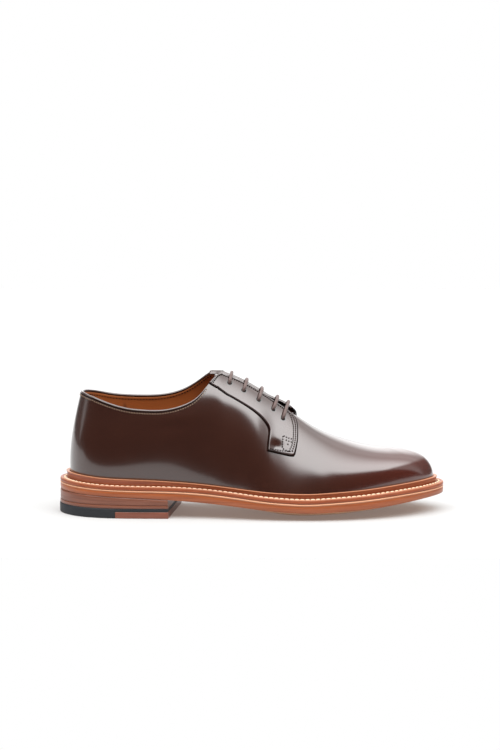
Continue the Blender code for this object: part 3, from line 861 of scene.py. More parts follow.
@dataclass(frozen=True)
class Finish:
    """A surface: two colours mixed by slow clouds, fine grain as bump, dark lines where drawn: seams, dyed
    edges, and painted shade in grooves, gaps and round holes.
    """

    name: str
    base: str
    second: str
    line: str = "#140b08"
    cloud_mm: float = 30.0
    cloud_detail: float = 4.0
    grain_mm: float = 0.8
    grain_detail: float = 2.0
    grain_depth: float = 0.05
    grain_range: Pair = (0.3, 1.3)
    roughness: float = 0.4
    rough_spread: float = 0.08
    ior: float = 1.5
    coat: float = 0.0
    coat_roughness: float = 0.2
    coat_ior: float = 1.5
    sheen: float = 0.0
    specular: float = 0.5

    def pattern(self, tree: Tree) -> Sockets:
        """Colour and height of the surface.

        Args:
            tree: The material's nodes.

        Returns:
            Sockets of the colour and of the height for the bump.
        """
        spot = add(tree, "TexCoord", {}).outputs["Object"]
        cloud = add(tree, "TexNoise", {"Vector": spot, "Scale": per_metre(self.cloud_mm),
                                       "Detail": self.cloud_detail})
        mix = add(tree, "Mix", {SHARE: cloud.outputs["Fac"], FIRST: linear(self.base),
                                SECOND: linear(self.second)}, data_type="RGBA")
        grain = add(tree, "TexVoronoi", {"Vector": spot, "Scale": per_metre(self.grain_mm)},
                    feature="SMOOTH_F1")
        fine = add(tree, "TexNoise", {"Vector": spot, "Scale": per_metre(self.grain_mm / 2),
                                      "Detail": self.grain_detail})
        both = add(tree, "Math", {0: grain.outputs["Distance"], 1: fine.outputs["Fac"]}, operation="ADD")
        return mix.outputs[MIXED], both.outputs[0]

    def material(self) -> bpy.types.Material:
        """Principled surface with the pattern's colour, roughness and bump.

        Returns:
            The material.
        """
        made = bpy.data.materials.new(self.name)
        made.use_nodes = True
        tree = made.node_tree
        colour, height = self.pattern(tree)
        # Dark lines: seams and dyed edges, and painted shade in grooves, gaps and round holes
        drawn = add(tree, "Attribute", {}, attribute_name="line")
        lined = add(tree, "Mix", {SHARE: drawn.outputs["Fac"], FIRST: colour, SECOND: linear(self.line)},
                    data_type="RGBA")
        low, high = self.grain_range
        rough = add(tree, "MapRange", {"Value": height, "From Min": low, "From Max": high,
                                       "To Min": self.roughness - self.rough_spread,
                                       "To Max": self.roughness + self.rough_spread})
        bump = add(tree, "Bump", {"Height": height, "Strength": 1.0, "Distance": self.grain_depth * MM})
        shader = tree.nodes["Principled BSDF"]
        tree.links.new(lined.outputs[MIXED], shader.inputs["Base Color"])
        tree.links.new(rough.outputs[0], shader.inputs["Roughness"])
        tree.links.new(bump.outputs[0], shader.inputs["Normal"])
        shader.inputs["IOR"].default_value = self.ior
        shader.inputs["Specular IOR Level"].default_value = self.specular
        shader.inputs["Coat Weight"].default_value = self.coat
        shader.inputs["Coat Roughness"].default_value = self.coat_roughness
        shader.inputs["Coat IOR"].default_value = self.coat_ior
        shader.inputs["Sheen Weight"].default_value = self.sheen
        return made


@dataclass(frozen=True)
class CalfFinish(Finish):
    """Polished calf, burnished a warmer brown towards the toe."""

    warm: str = "#481e15"
    warm_from: float = 0.05
    warm_to: float = 0.12

    def pattern(self, tree: Tree) -> Sockets:
        """Colour and height: the plain pattern, mixed with the warm brown by the place along the shoe.

        Args:
            tree: The material's nodes.

        Returns:
            Sockets of the colour and of the height for the bump.
        """
        colour, height = super().pattern(tree)
        spot = add(tree, "TexCoord", {}).outputs["Object"]
        parts = add(tree, "SeparateXYZ", {0: spot})
        share = add(tree, "MapRange", {"Value": parts.outputs["X"], "From Min": self.warm_from,
                                       "From Max": self.warm_to})
        mix = add(tree, "Mix", {SHARE: share.outputs[0], FIRST: colour, SECOND: linear(self.warm)},
                  data_type="RGBA")
        return mix.outputs[MIXED], height


@dataclass(frozen=True)
class EdgeFinish(Finish):
    """Cut and waxed leather edge: fibre layers as fine level lines, a painted highlight where drawn."""

    layer_mm: float = 0.9
    layer_detail: float = 3.0
    contrast: Pair = (0.35, 0.65)
    # Colour of the painted highlight
    lit: str = "#d9a07a"
    under: str = "#b98a5f"
    under_range: Pair = (-0.6, -0.95)

    def pattern(self, tree: Tree) -> Sockets:
        """Colour and height: noise stretched along the edge, a plainer tone on faces that look down, and a
        painted highlight where drawn.

        Args:
            tree: The material's nodes.

        Returns:
            Sockets of the colour and of the height for the bump.
        """
        spot = add(tree, "TexCoord", {}).outputs["Object"]
        flat = (self.layer_mm / self.cloud_mm, self.layer_mm / self.cloud_mm, 1.0)
        turned = add(tree, "Mapping", {"Vector": spot, "Scale": flat})
        layers = add(tree, "TexNoise", {"Vector": turned.outputs["Vector"], "Detail": self.layer_detail,
                                        "Scale": per_metre(self.layer_mm)})
        low, high = self.contrast
        share = add(tree, "MapRange", {"Value": layers.outputs["Fac"], "From Min": low, "From Max": high})
        normal = add(tree, "NewGeometry", {}).outputs["Normal"]
        parts = add(tree, "SeparateXYZ", {0: normal})
        low, high = self.under_range
        down = add(tree, "MapRange", {"Value": parts.outputs["Z"], "From Min": low, "From Max": high})
        # Painted highlight: lighter where the piece marks its upward-facing edges
        bead = add(tree, "Attribute", {}, attribute_name="lit")
        colour = linear(self.base)
        for part, code in ((share.outputs[0], self.second), (down.outputs[0], self.under),
                           (bead.outputs["Fac"], self.lit)):
            mix = add(tree, "Mix", {SHARE: part, FIRST: colour, SECOND: linear(code)}, data_type="RGBA")
            colour = mix.outputs[MIXED]
        return colour, layers.outputs["Fac"]


@dataclass(frozen=True)
class CordFinish(Finish):
    """Braided or twisted thread: strands wind both ways round the cord, darker where they dip, as painted
    shade between them.
    """

    strand_mm: float = 1.1
    strands: float = 4.0
    wave_range: Pair = (-0.4, 1.0)

    def pattern(self, tree: Tree) -> Sockets:
        """Colour and height from the higher of two waves, sin(along + around) and sin(along - around); the
        darker colour where it is low is painted shade between the strands.

        Args:
            tree: The material's nodes.

        Returns:
            Sockets of the colour and of the height for the bump.
        """
        angles = []
        for name, scale in (("along", 1 / self.strand_mm), ("around", self.strands)):
            place_node = add(tree, "Attribute", {}, attribute_name=name)
            angles.append(add(tree, "Math", {0: place_node.outputs["Fac"], 1: 2 * math.pi * scale},
                              operation="MULTIPLY").outputs[0])
        waves = []
        for way in ("ADD", "SUBTRACT"):
            angle = add(tree, "Math", dict(enumerate(angles)), operation=way)
            waves.append(add(tree, "Math", {0: angle.outputs[0]}, operation="SINE").outputs[0])
        wave = add(tree, "Math", dict(enumerate(waves)), operation="MAXIMUM")
        low, high = self.wave_range
        level = add(tree, "MapRange", {"Value": wave.outputs[0], "From Min": low, "From Max": high})
        # Painted shade: the second, darker colour fills the low places between the strands
        mix = add(tree, "Mix", {SHARE: level.outputs[0], FIRST: linear(self.second),
                                SECOND: linear(self.base)}, data_type="RGBA")
        return mix.outputs[MIXED], level.outputs[0]


# Polished calf: a thin wax coat over a close grain gives broad, soft-edged highlights
CALF = CalfFinish("polished_calf", "#3b1f16", "#301710", cloud_mm=26.0, grain_mm=0.7, grain_depth=0.008,
                  roughness=0.2, rough_spread=0.03, coat=1.0, coat_roughness=0.11, coat_ior=1.6)
# Glove-tanned calf inside the shoe: matt, with a soft nap
LINING = Finish("lining_calf", "#a85c1e", "#934b15", line="#4a260d", cloud_mm=18.0, grain_mm=0.6,
                grain_depth=0.03, roughness=0.6, sheen=0.15)
# Tanned shoulder of the welt: waxed, mid brown, with painted highlights along its upward-facing edges and
# painted shade in its stitch groove
WELT = EdgeFinish("welt_shoulder", "#9a4a22", "#853c19", cloud_mm=24.0, grain_mm=0.5, grain_depth=0.05,
                  roughness=0.42, coat=0.2, lit="#b87a55", layer_mm=0.8)
# Oak-bark sole leather: waxed edge with fibre layers, natural underside, and a painted highlight on the bead
# of its upper edge
SOLE_LEATHER = EdgeFinish("sole_leather", "#a2562d", "#8f4823", cloud_mm=30.0, grain_mm=0.6,
                          grain_depth=0.05, roughness=0.4, coat=0.25, layer_mm=1.0)
# Stacked lifts: thin layers pressed together, waxed darker than the sole
LIFTS = EdgeFinish("heel_lifts", "#814e3a", "#6c3c2a", cloud_mm=40.0, grain_mm=0.6, grain_depth=0.06,
                   roughness=0.42, coat=0.2, layer_mm=1.3, under="#6e4430")
# Leather piece in front of the heel rubber: waxed like the lifts, a shade warmer
TOP_PIECE = EdgeFinish("top_piece_leather", "#804736", "#6e3b2b", cloud_mm=30.0, grain_mm=0.6,
                       grain_depth=0.05, roughness=0.45, coat=0.15, layer_mm=1.0, under="#7a4a36")
# Moulded heel rubber: matt charcoal with a fine grit
RUBBER = Finish("heel_rubber", "#1a1d23", "#15181d", cloud_mm=12.0, grain_mm=0.4, grain_depth=0.03,
                roughness=0.55)
# Waxed round cotton lace, darker between its strands as painted shade
LACE_COTTON = CordFinish("lace_cotton", "#6b5550", "#453430", grain_depth=0.12, roughness=0.65, sheen=0.2)
# Twisted linen thread of the welt seam, waxed cream, darker between its strands as painted shade
WELT_THREAD = CordFinish("welt_thread", "#f6dcbc", "#e0bd98", grain_depth=0.1, roughness=0.55, strands=2.0,
                         strand_mm=0.9)
# Fine sewing thread: dark on the facings and inside, paler along the collar
DARK_THREAD = Finish("dark_thread", "#1d120e", "#150c09", grain_mm=0.3, grain_depth=0.02, roughness=0.9,
                     specular=0.1)
PALE_THREAD = Finish("collar_thread", "#7d6552", "#665241", grain_mm=0.3, grain_depth=0.02, roughness=0.7)
# Dyed cut edges with the painted shade of the gaps beside them, and painted shade in pressed grooves: dull,
# nearly black
EDGE_DYE_AND_SHADE = Finish("edge_dye_and_painted_shade", "#170d0a", "#120a08", grain_mm=0.4, grain_depth=0.02, roughness=0.9,
                  specular=0.08)


@dataclass(frozen=True)
class RolledEdge:
    """Bead along a folded edge and the pressed groove behind it, by distance from the edge."""

    bead: float
    groove: float
    bead_at: float = 0.8
    bead_wide: float = 0.5
    groove_at: float = 1.9
    groove_wide: float = 0.28
    line_wide: float = 0.34

    def raised(self, distance: Array) -> Array:
        """Height of the bead."""
        return self.bead * bell(self.bead_at, self.bead_wide, distance)

    def pressed(self, distance: Array) -> Array:
        """Depth of the groove."""
        return self.groove * bell(self.groove_at, self.groove_wide, distance)

    def line(self, distance: Array) -> Array:
        """Share of painted shade in the groove."""
        return bell(self.groove_at, self.line_wide, distance)


@dataclass
class Shoe:
    """What the sub-assemblies share: the last, a chart of each side and the wall's build."""

    wall: float = 2.2
    lining: float = 0.6
    facing_top: float = 1.55
    eyelet_radius: float = 1.9
    eyelet_reach: float = 8.0
    inner_lift: float = 3.0
    lift_along: Pair = (12.4, 13.35)
    lift_down: Pair = (3.0, 14.0)
    last: Last = field(default_factory=Last)

    def __post_init__(self) -> None:
        """Chart both sides."""
        self.charts = {side: Chart(self.last, side) for side in Side}

    def dress(self, name: str, shape: Shape, finish: Finish, slot: str, *nodes: str,
              sharp: float = 40.0) -> None:
        """Make a piece, carry it on the shoe's body and let it stand for its solids.

        Args:
            name: Name of the piece.
            shape: Its points and faces.
            finish: Its surface.
            slot: The record's material slot; not used.
            nodes: Solids that it stands for.
            sharp: Angle in degrees above which an edge stays sharp.
        """
        made = piece(name, shape, self.last.centre, sharp)
        made.data.materials.append(finish.material())
        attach(made, BODY)
        if nodes:
            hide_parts(*nodes)
        LOG.info("%s: %d faces", made.name, len(made.data.polygons))

    def stand_off(self, side: Side, at: Array, down: Array) -> Array:
        """How far a facing stands off the wall: the inner one lifts beside the throat's end.

        Args:
            side: Side of the shoe.
            at: Section numbers.
            down: Distances down the rib.

        Returns:
            Heights: a rise along the throat times a fall away from its edge.
        """
        lift = self.inner_lift if side is Side.MEDIAL else 0.0
        return lift * smooth_step(*self.lift_along, at) * (1 - smooth_step(*self.lift_down, down))

    def holes(self, side: Side) -> Arrays:
        """Middles and axes of the eyelets of one side.

        Args:
            side: Side of the shoe.

        Returns:
            Points on the wall and unit normals there.
        """
        at = np.array([eyelet.at for eyelet in EYELETS])
        back = np.array([eyelet.set_back for eyelet in EYELETS])
        return self.charts[side].point(at, back), self.charts[side].normal(at, back)

    def from_holes(self, side: Side, points: Array) -> Array:
        """Distance of points from the axis of the nearest eyelet.

        Args:
            side: Side of the shoe.
            points: Points, any number of axes before the last.

        Returns:
            Distances; far along an axis counts as far away.
        """
        middles, axes = self.holes(side)
        apart = points[..., None, :] - middles
        along = np.sum(apart * axes, axis=-1)
        across = np.linalg.norm(apart - along[..., None] * axes, axis=-1)
        return np.min(np.where(np.abs(along) < self.eyelet_reach, across, FAR), axis=-1)


@dataclass
class Upper:
    """Vamp and quarters as one wall with a rolled collar edge, and the tan lining inside it."""

    shoe: Shoe
    stations: int = 330
    rows_below: int = 44
    roll: float = 1.0
    roll_end: Pair = (7.9, 8.3)
    edge: RolledEdge = RolledEdge(bead=0.06, groove=0.08)
    hole: float = 2.6
    sink_end: float = 13.7
    edge_rows: tuple[float, ...] = (0.0, 0.06, 0.2, 0.4, 0.65, 0.95, 1.3, 1.6, 1.9, 2.2, 2.5, 3.0, 3.8, 5.0)
    lining_from: Pair = (1.8, 2.3)
    lining_rows: tuple[float, ...] = (1.9, 2.0, 2.15, 2.4, 2.8, 3.4, 4.5, 7.0)
    lining_roll: float = 0.5
    lining_gap: float = 0.05
    grip_at: Pair = (46.0, 60.0)
    grip_slope: float = 0.25
    grip_wide: float = 0.7
    grip_dark: float = 0.8
    grip_from: float = 2.6

    def rows(self, side: Side, w: Array, edge_rows: Sequence[float], below: int) -> Arrays:
        """Places of the grid's rows: close together along the edge, then evenly down to the sole.

        Args:
            side: Side of the shoe.
            w: Section numbers.
            edge_rows: Distances of the rows next to the edge.
            below: Number of rows under them.

        Returns:
            Shares t up the ribs and distances from the edge, by section and row.
        """
        chart = self.shoe.charts[side]
        close = chart.share(w[:, None], np.array(edge_rows)[None, :])
        even = close[:, -1:] * np.linspace(1, 0, below + 1)[None, 1:]
        t = np.concatenate((close, even), axis=1)
        return t, edge_rows[0] + travelled(self.shoe.last.rib(side, w[:, None], t), axis=1)

    def crease_depth(self, side: Side, points: Array) -> Array:
        """Sum of the soft troughs: depth times a bell along and a bell across each crease.

        Args:
            side: Side of the shoe.
            points: Points of the wall.

        Returns:
            How far each point sinks.
        """
        depth = np.zeros(points.shape[:-1])
        for crease in CREASES:
            if crease.side is not side:
                continue
            turn = math.radians(crease.turn)
            x = points[..., 0] - crease.x
            z = points[..., 2] - crease.z
            along = x * math.cos(turn) + z * math.sin(turn)
            across = z * math.cos(turn) - x * math.sin(turn)
            depth += crease.depth * bell(0, crease.long, along) * bell(0, crease.wide, across)
        return depth

    def wall_skins(self, side: Side, w: Array, d: Array, surface: Array) -> Triple:
        """Skins of the wall, its collar edge rolled round like half a pipe.

        Args:
            side: Side of the shoe.
            w: Section numbers.
            d: Distances from the edge, by section and row.
            surface: Points of the last there.

        Returns:
            Heights of both skins and shares of painted shade in the collar's groove. Near the collar the
            outer skin sits at
            -T/2 + T/2 sqrt(1 - (1 - d/roll)^2), the inner one at -T/2 less the same root.
        """
        shoe = self.shoe
        rolled = (1 - smooth_step(*self.roll_end, w))[:, None]
        open_edge = (1 - smooth_step(self.sink_end, THROAT_END, w))[:, None]
        fall = (shoe.wall / 2) * (1 - rounded(d, self.roll))
        sink = self.crease_depth(side, surface)
        above = rolled * (self.edge.raised(d) - self.edge.pressed(d) - fall) - sink
        thick = shoe.wall - shoe.lining * smooth_step(*self.lining_from, d)
        below = -thick + rolled * np.where(d < self.lining_from[0], fall, 0.0) - sink * open_edge
        # The dark line is painted shade in the collar's groove
        return above, below, rolled * self.edge.line(d)

    def lining_skins(self, d: Array, surface: Array) -> Triple:
        """Skins of the lining, which begins just below the rolled edge.

        Args:
            d: Distances from the edge, by section and row.
            surface: Points of the last there.

        Returns:
            Heights of both skins and shares of dark line, drawn where its parts are seamed.
        """
        face = np.full(d.shape, -(self.shoe.wall - self.shoe.lining) - self.lining_gap)
        full = rounded(d - self.lining_rows[0], self.lining_roll)
        x, z = self.grip_at
        seam = surface[..., 0] - x - self.grip_slope * (surface[..., 2] - z)
        line = self.grip_dark * bell(0, self.grip_wide, seam) * (d > self.grip_from)
        return face, face - self.lining_gap - self.shoe.lining * full, line

    def shell(self, skins: Callable[..., Triple], edge_rows: Sequence[float], coarse: int = 1) -> Shape:
        """Closed shell over both sides, with holes where the lace runs through.

        Args:
            skins: Gives the skins and the dark lines of one side.
            edge_rows: Distances of the rows next to the edge.
            coarse: How many times fewer stations and rows than the finest grid.

        Returns:
            Closed shape with the shares of dark line: painted shade in the wall's groove, seams in the
            lining.
        """
        last = self.shoe.last
        w = np.linspace(0, LAST_ROW, self.stations // coarse + 1)
        outer, inner, quads, line = [], [], [], []
        for side in Side:
            t, d = self.rows(side, w, edge_rows, self.rows_below // coarse)
            surface = last.rib(side, w[:, None], t)
            normal = last.normal(side, w[:, None], t)
            above, below, drawn = skins(side, w, d, surface)
            outer.append(surface + normal * above[..., None])
            inner.append(surface + normal * below[..., None])
            line.append(drawn)
            block = grid_quads(*d.shape)
            middle = surface.reshape(-1, 3)[block].mean(axis=1)
            block = block[self.shoe.from_holes(side, middle) > self.hole]
            start = len(quads) * d.size
            quads.append((block if side is Side.LATERAL else block[:, ::-1]) + start)
        return closed_shell(np.concatenate(outer).reshape(-1, 3), np.concatenate(inner).reshape(-1, 3),
                            np.concatenate(quads), {"line": np.concatenate(line).reshape(-1)})

    def build(self) -> None:
        """Make the wall and its lining."""
        wall = self.shell(self.wall_skins, self.edge_rows)
        lining = self.shell(lambda side, w, d, surface: self.lining_skins(d, surface), self.lining_rows, 2)
        self.shoe.dress("upper_wall", wall, CALF, "upper_leather", "upper")
        self.shoe.dress("upper_lining", lining, LINING, "insole_leather")


@dataclass
class Facing:
    """Eyestay of one side: a leather overlay with a beaded throat edge, punched holes and a square tab."""

    shoe: Shoe
    side: Side
    long_steps: int = 230
    cross_steps: int = 72
    seam_steps: int = 120
    rounding: float = 0.9
    clear: float = 0.05
    border: float = 0.01
    edge: RolledEdge = RolledEdge(bead=0.16, groove=0.15)
    # Dark bands: dyed edge with painted shade along the low edges, painted shade at the front gap, in the
    # groove and round each hole
    dark_edge: float = 0.28
    front_at: Pair = (13.6, 13.8)
    front_dark: Pair = (0.3, 0.8)
    eyelet_dark: Pair = (0.3, 0.9)
    bow: float = 1.3
    bow_at: Pair = (0.86, 1.0)
    spread_at: Pair = (0.55, 0.7)
    dimple_at: Pair = (12.95, 39.4)
    dimple: float = 0.95
    dimple_reach: float = 5.0
    box_rows: tuple[tuple[Pair, Pair], ...] = (
        ((13.25, 27.5), (13.73, 27.6)),
        ((13.36, 30.0), (13.73, 30.2)),
        ((13.25, 27.5), (13.22, 38.0)),
        ((13.22, 38.2), (13.62, 38.6)),
        ((13.48, 33.0), (13.52, 33.0)),
    )

    @property
    def name(self) -> str:
        """Name of the solid it stands for."""
        return f"eyestay_{self.side.name.lower()}"

    def places(self, run: Array, across: Array) -> Arrays:
        """Chart places of the facing.

        Args:
            run: Shares of the way from collar to tab.
            across: Shares of the way from the throat's edge to the swan-neck line.

        Returns:
            Section numbers and distances down the rib.
        """
        rungs = OpenSpline(np.linspace(0, 1, len(FACING)), FACING).at(np.asarray(run, float))
        inner_at, inner_down, outer_at, outer_down = np.moveaxis(rungs, -1, 0)
        at = inner_at + (outer_at - inner_at) * across
        down = inner_down + (outer_down - inner_down) * across
        down = down - 4 * self.bow * across * (1 - across) * smooth_step(*self.bow_at, run)
        return at, np.maximum(down, 0)

    def shape(self) -> Shape:
        """Overlay between the wall and its own top, rounded off along every edge.

        Returns:
            Closed shape; its height is top * sqrt(1 - (1 - d/rounding)^2), d from the nearest edge.
        """
        shoe = self.shoe
        run = np.linspace(0, 1, self.long_steps + 1)[:, None]
        across = np.linspace(0, 1, self.cross_steps + 1)[None, :]
        at, down = self.places(run, across)
        chart = shoe.charts[self.side]
        surface = chart.point(at, down)
        normal = chart.normal(at, down)
        throat, top = travelled(surface, axis=1), travelled(surface, axis=0)
        low_edge = np.minimum(throat[:, -1:] - throat, top[-1:] - top)
        nearest = np.minimum(np.minimum(throat, top), low_edge)
        front = smooth_step(*self.front_at, at[:, :1]) * np.ones_like(at)
        beaded = np.minimum(np.where(front > 0.5, FAR, throat), top)
        height = shoe.facing_top * rounded(nearest, self.rounding)
        height = height + self.edge.raised(beaded) * (nearest > self.border) - self.edge.pressed(beaded)
        middle = chart.point(*self.dimple_at)
        height = height - self.dimple * bell(0, self.dimple_reach, np.linalg.norm(surface - middle, axis=-1))
        # Dark band along the low edges: dyed edge, and painted shade of the edge standing off the wall
        dark = 1 - smooth_step(0.5 * self.dark_edge, 1.4 * self.dark_edge, low_edge)
        # Dark at the tab's front: dyed edge, and painted shade of the gap between the facings
        dark = np.maximum(dark, (1 - smooth_step(*self.front_dark, throat)) * front)
        # Painted shade in the groove behind the beaded edge
        dark = np.maximum(dark, self.edge.line(beaded))
        # Painted shade: a dark ring round each punched hole
        past_hole = shoe.from_holes(self.side, surface) - shoe.eyelet_radius
        dark = np.maximum(dark, 1 - smooth_step(*self.eyelet_dark, past_hole))
        ground = self.clear + shoe.stand_off(self.side, at, down)
        outer = surface + normal * (ground + height)[..., None]
        inner = surface + normal * ground[..., None]
        quads = grid_quads(*at.shape)
        middle = surface.reshape(-1, 3)[quads].mean(axis=1)
        punched = shoe.from_holes(self.side, middle) < shoe.eyelet_radius
        outer, inner = self.round_holes(surface, outer, inner, quads, punched)
        quads = quads[~punched]
        return closed_shell(outer, inner, quads if self.side is Side.MEDIAL else quads[:, ::-1],
                            {"line": np.clip(dark, 0, 1).reshape(-1)})

    def round_holes(self, surface: Array, outer: Array, inner: Array, quads: Faces,
                    punched: NDArray[np.bool_]) -> Arrays:
        """Move the grid points beside the punched quads straight out or in, onto the hole's circle.

        Args:
            surface: Grid on the wall.
            outer: Grid of the top.
            inner: Grid of the underside.
            quads: All quads.
            punched: Which quads are cut away.

        Returns:
            Points of the top and of the underside, listed row by row.
        """
        flat = surface.reshape(-1, 3)
        rim = np.intersect1d(quads[punched], quads[~punched])
        middles, axes = self.shoe.holes(self.side)
        apart = flat[rim][:, None, :] - middles
        nearest = np.argmin(np.linalg.norm(apart, axis=-1), axis=1)
        axis = axes[nearest]
        off = apart[np.arange(len(rim)), nearest]
        off = off - np.sum(off * axis, axis=-1, keepdims=True) * axis
        length = np.linalg.norm(off, axis=-1, keepdims=True)
        moves = np.zeros_like(flat)
        moves[rim] = off / length * (self.shoe.eyelet_radius - length)
        return outer.reshape(-1, 3) + moves, inner.reshape(-1, 3) + moves

    def seam(self, row: SeamRow, count: int = 400) -> Arrays:
        """Path a set distance from the throat's edge, and further from the tab's front.

        Args:
            row: The path's distance, ends and spread.
            count: Number of points.

        Returns:
            Section numbers and distances down the rib.
        """
        run = np.linspace(row.start, row.end, count)
        across = np.linspace(0, 1, self.seam_steps)
        surface = self.shoe.charts[self.side].point(*self.places(run[:, None], across[None, :]))
        far = row.offset + row.spread * smooth_step(*self.spread_at, run)
        lengths = travelled(surface, axis=1)
        share = np.array([np.interp(reach, length, across) for reach, length in zip(far, lengths)])
        return self.places(run, share)

    def build(self) -> None:
        """Make the overlay."""
        self.shoe.dress(self.name + "_overlay", self.shape(), CALF, "eyestay_leather", self.name)


@dataclass
class Stitching:
    """Rows of stitches, each a small bead along its row, and thin dark lines: dyed edges, and painted shade
    in gaps and grooves.
    """

    shoe: Shoe
    rings: int = 6
    corners: int = 6
    blunt: float = 0.6
    row_points: int = 500
    cross_points: int = 200
    box_points: int = 60
    collar_stitch: Stitch = Stitch(2.0, 1.32, 1.15, 0.4)
    collar_span: Pair = (0.02, 8.05)
    collar_down: float = 3.3
    lining_stitch: Stitch = Stitch(2.4, 1.6, 0.9, 0.35)
    lining_span: Pair = (0.02, 8.4)
    lining_down: float = 3.9
    lining_gap: float = 0.1
    facing_stitch: Stitch = Stitch(1.8, 1.188, 1.15, 0.4)
    facing_gap: float = 0.15
    throat_rows: tuple[SeamRow, ...] = (SeamRow(3.1, 0.035, 0.97, 2.4), SeamRow(1.6, 0.6, 0.97, 1.3))
    cross_rows: tuple[float, ...] = (0.035, 0.965)
    cross_span: Pair = (0.06, 0.95)
    line_points: int = 300
    collar_points: int = 400
    # Dark lines: painted shade beside the facings' edges, partly dyed edge, and painted shade in the facings'
    # and the collar's grooves
    past_neck: float = 1.008
    past_foot: float = 1.004
    past_front: float = -0.012
    front_from: float = 0.56
    rim_above: float = 0.5
    rim_sizes: tuple[Pair, ...] = ((0.55, 0.6), (1.0, 0.6), (1.0, 0.6))
    groove_span: Pair = (0.02, 0.6)
    groove_size: Pair = (0.6, 0.15)
    collar_line: Pair = (0.8, 0.12)
    collar_line_end: float = 8.2

    def row(self, path: Array, up: Array, stitch: Stitch) -> Shape:
        """Stitches set evenly along a path.

        Args:
            path: Points of the row.
            up: Unit normals of the ground there.
            stitch: Size of a stitch and its distance to the next.

        Returns:
            Shape of all the stitches: an ellipsoid for each, sunk by half into the ground.
        """
        length = travelled(path)
        count = max(int(length[-1] / stitch.pitch), 1)
        spots = (np.arange(count) + 0.5) * length[-1] / count
        middle = between(spots, length, path)
        normal = unit(between(spots, length, up))
        ahead = unit(between(spots, length, np.gradient(path, axis=0)))
        side = unit(np.cross(normal, ahead))
        turn = math.radians(stitch.slant)
        run = ahead * math.cos(turn) + side * math.sin(turn)
        beam = side * math.cos(turn) - ahead * math.sin(turn)
        lat = np.linspace(-math.pi / 2, math.pi / 2, self.rings + 1)
        lon = np.arange(self.corners) * 2 * math.pi / self.corners
        along = np.sin(lat)[:, None] * np.ones_like(lon)[None, :] * stitch.long / 2
        girth = np.cos(lat) ** self.blunt
        over = girth[:, None] * np.cos(lon)[None, :] * stitch.wide / 2
        high = girth[:, None] * np.sin(lon)[None, :] * stitch.tall
        shape = (along[..., None] * run[:, None, None] + over[..., None] * beam[:, None, None]
                 + high[..., None] * normal[:, None, None] + middle[:, None, None])
        one = grid_quads(self.rings + 1, self.corners, True)
        quads = (one[None] + np.arange(count)[:, None, None] * along.size).reshape(-1, 4)
        value = spots[:, None, None] + along
        ring = np.broadcast_to(lon / (2 * math.pi), value.shape)
        return Shape(shape.reshape(-1, 3), [quads], {"along": value.reshape(-1), "around": ring.reshape(-1)})

    @staticmethod
    def gather(shapes: Sequence[Shape]) -> Shape:
        """Join several shapes into one.

        Args:
            shapes: Shapes with the same named values.

        Returns:
            The joined shape.
        """
        starts = np.cumsum([0] + [len(shape.points) for shape in shapes[:-1]])
        faces = [block + start for shape, start in zip(shapes, starts) for block in shape.faces]
        values = {name: np.concatenate([shape.values[name] for shape in shapes]) for name in shapes[0].values}
        return Shape(np.concatenate([shape.points for shape in shapes]), faces, values)

    def on_wall(self, side: Side, at: Array, down: Array, above: float, stitch: Stitch) -> Shape:
        """Row of fine stitches along a chart path.

        Args:
            side: Side of the shoe.
            at: Section numbers.
            down: Distances down the rib.
            above: Height of the ground over the wall, to which a facing's stand-off is added.
            stitch: Size of a stitch and its distance to the next.

        Returns:
            Shape of the row.
        """
        chart = self.shoe.charts[side]
        path = chart.point(at, down, above + self.shoe.stand_off(side, at, down))
        return self.row(path, chart.normal(at, down), stitch)

    def collar_rows(self) -> Shape:
        """Row below the rolled edge, from facing to facing round the heel.

        Returns:
            Shape of the row on both sides.
        """
        w = np.linspace(*self.collar_span, self.row_points)
        down = np.full_like(w, self.collar_down)
        return self.gather([self.on_wall(side, w, down, 0.0, self.collar_stitch) for side in Side])

    def lining_rows(self) -> Shape:
        """Row inside the collar, which holds the lining to the wall.

        Returns:
            Shape of the row on both sides.
        """
        w = np.linspace(*self.lining_span, self.row_points)
        down = np.full_like(w, self.lining_down)
        shapes = []
        for side in Side:
            chart = self.shoe.charts[side]
            path = chart.point(w, down, -self.shoe.wall - self.lining_gap)
            shapes.append(self.row(path, -chart.normal(w, down), self.lining_stitch))
        return self.gather(shapes)

    def facing_rows(self, facings: Sequence[Facing]) -> Shape:
        """Rows on the facings: along collar and throat, twice down the tab's front, round its foot and box.

        Args:
            facings: Both facings.

        Returns:
            Shape of all rows.
        """
        above = self.shoe.facing_top + self.facing_gap
        across = np.linspace(*self.cross_span, self.cross_points)
        share = np.linspace(0, 1, self.box_points)
        shapes = []
        for facing in facings:
            paths = [facing.seam(row) for row in self.throat_rows]
            paths += [facing.places(np.full_like(across, run), across) for run in self.cross_rows]
            for start, end in facing.box_rows:
                paths.append(tuple(first + (last - first) * share for first, last in zip(start, end)))
            shapes += [self.on_wall(facing.side, *path, above, self.facing_stitch) for path in paths]
        return self.gather(shapes)

    def line(self, side: Side, path: Arrays, above: float, size: Pair) -> Shape:
        """Thin dark line along a chart path: dyed edge and painted shade.

        Args:
            side: Side of the shoe.
            path: Section numbers and distances down the rib.
            above: Height of its middle over the wall, to which a facing's stand-off is added.
            size: Its width, and how far it stands above and below its middle.

        Returns:
            Closed tube through ellipses, half the width across the path and tall along the normal.
        """
        wide, tall = size
        chart = self.shoe.charts[side]
        points = chart.point(*path, above + self.shoe.stand_off(side, *path))
        up = chart.normal(*path)
        across = unit(np.cross(up, unit(np.gradient(points, axis=0))))
        turn = np.arange(self.corners) * 2 * math.pi / self.corners
        ring = np.cos(turn)[None, :, None] * across[:, None] * wide / 2
        ring = ring + np.sin(turn)[None, :, None] * up[:, None] * tall
        return loft(points[:, None] + ring, (True, True))

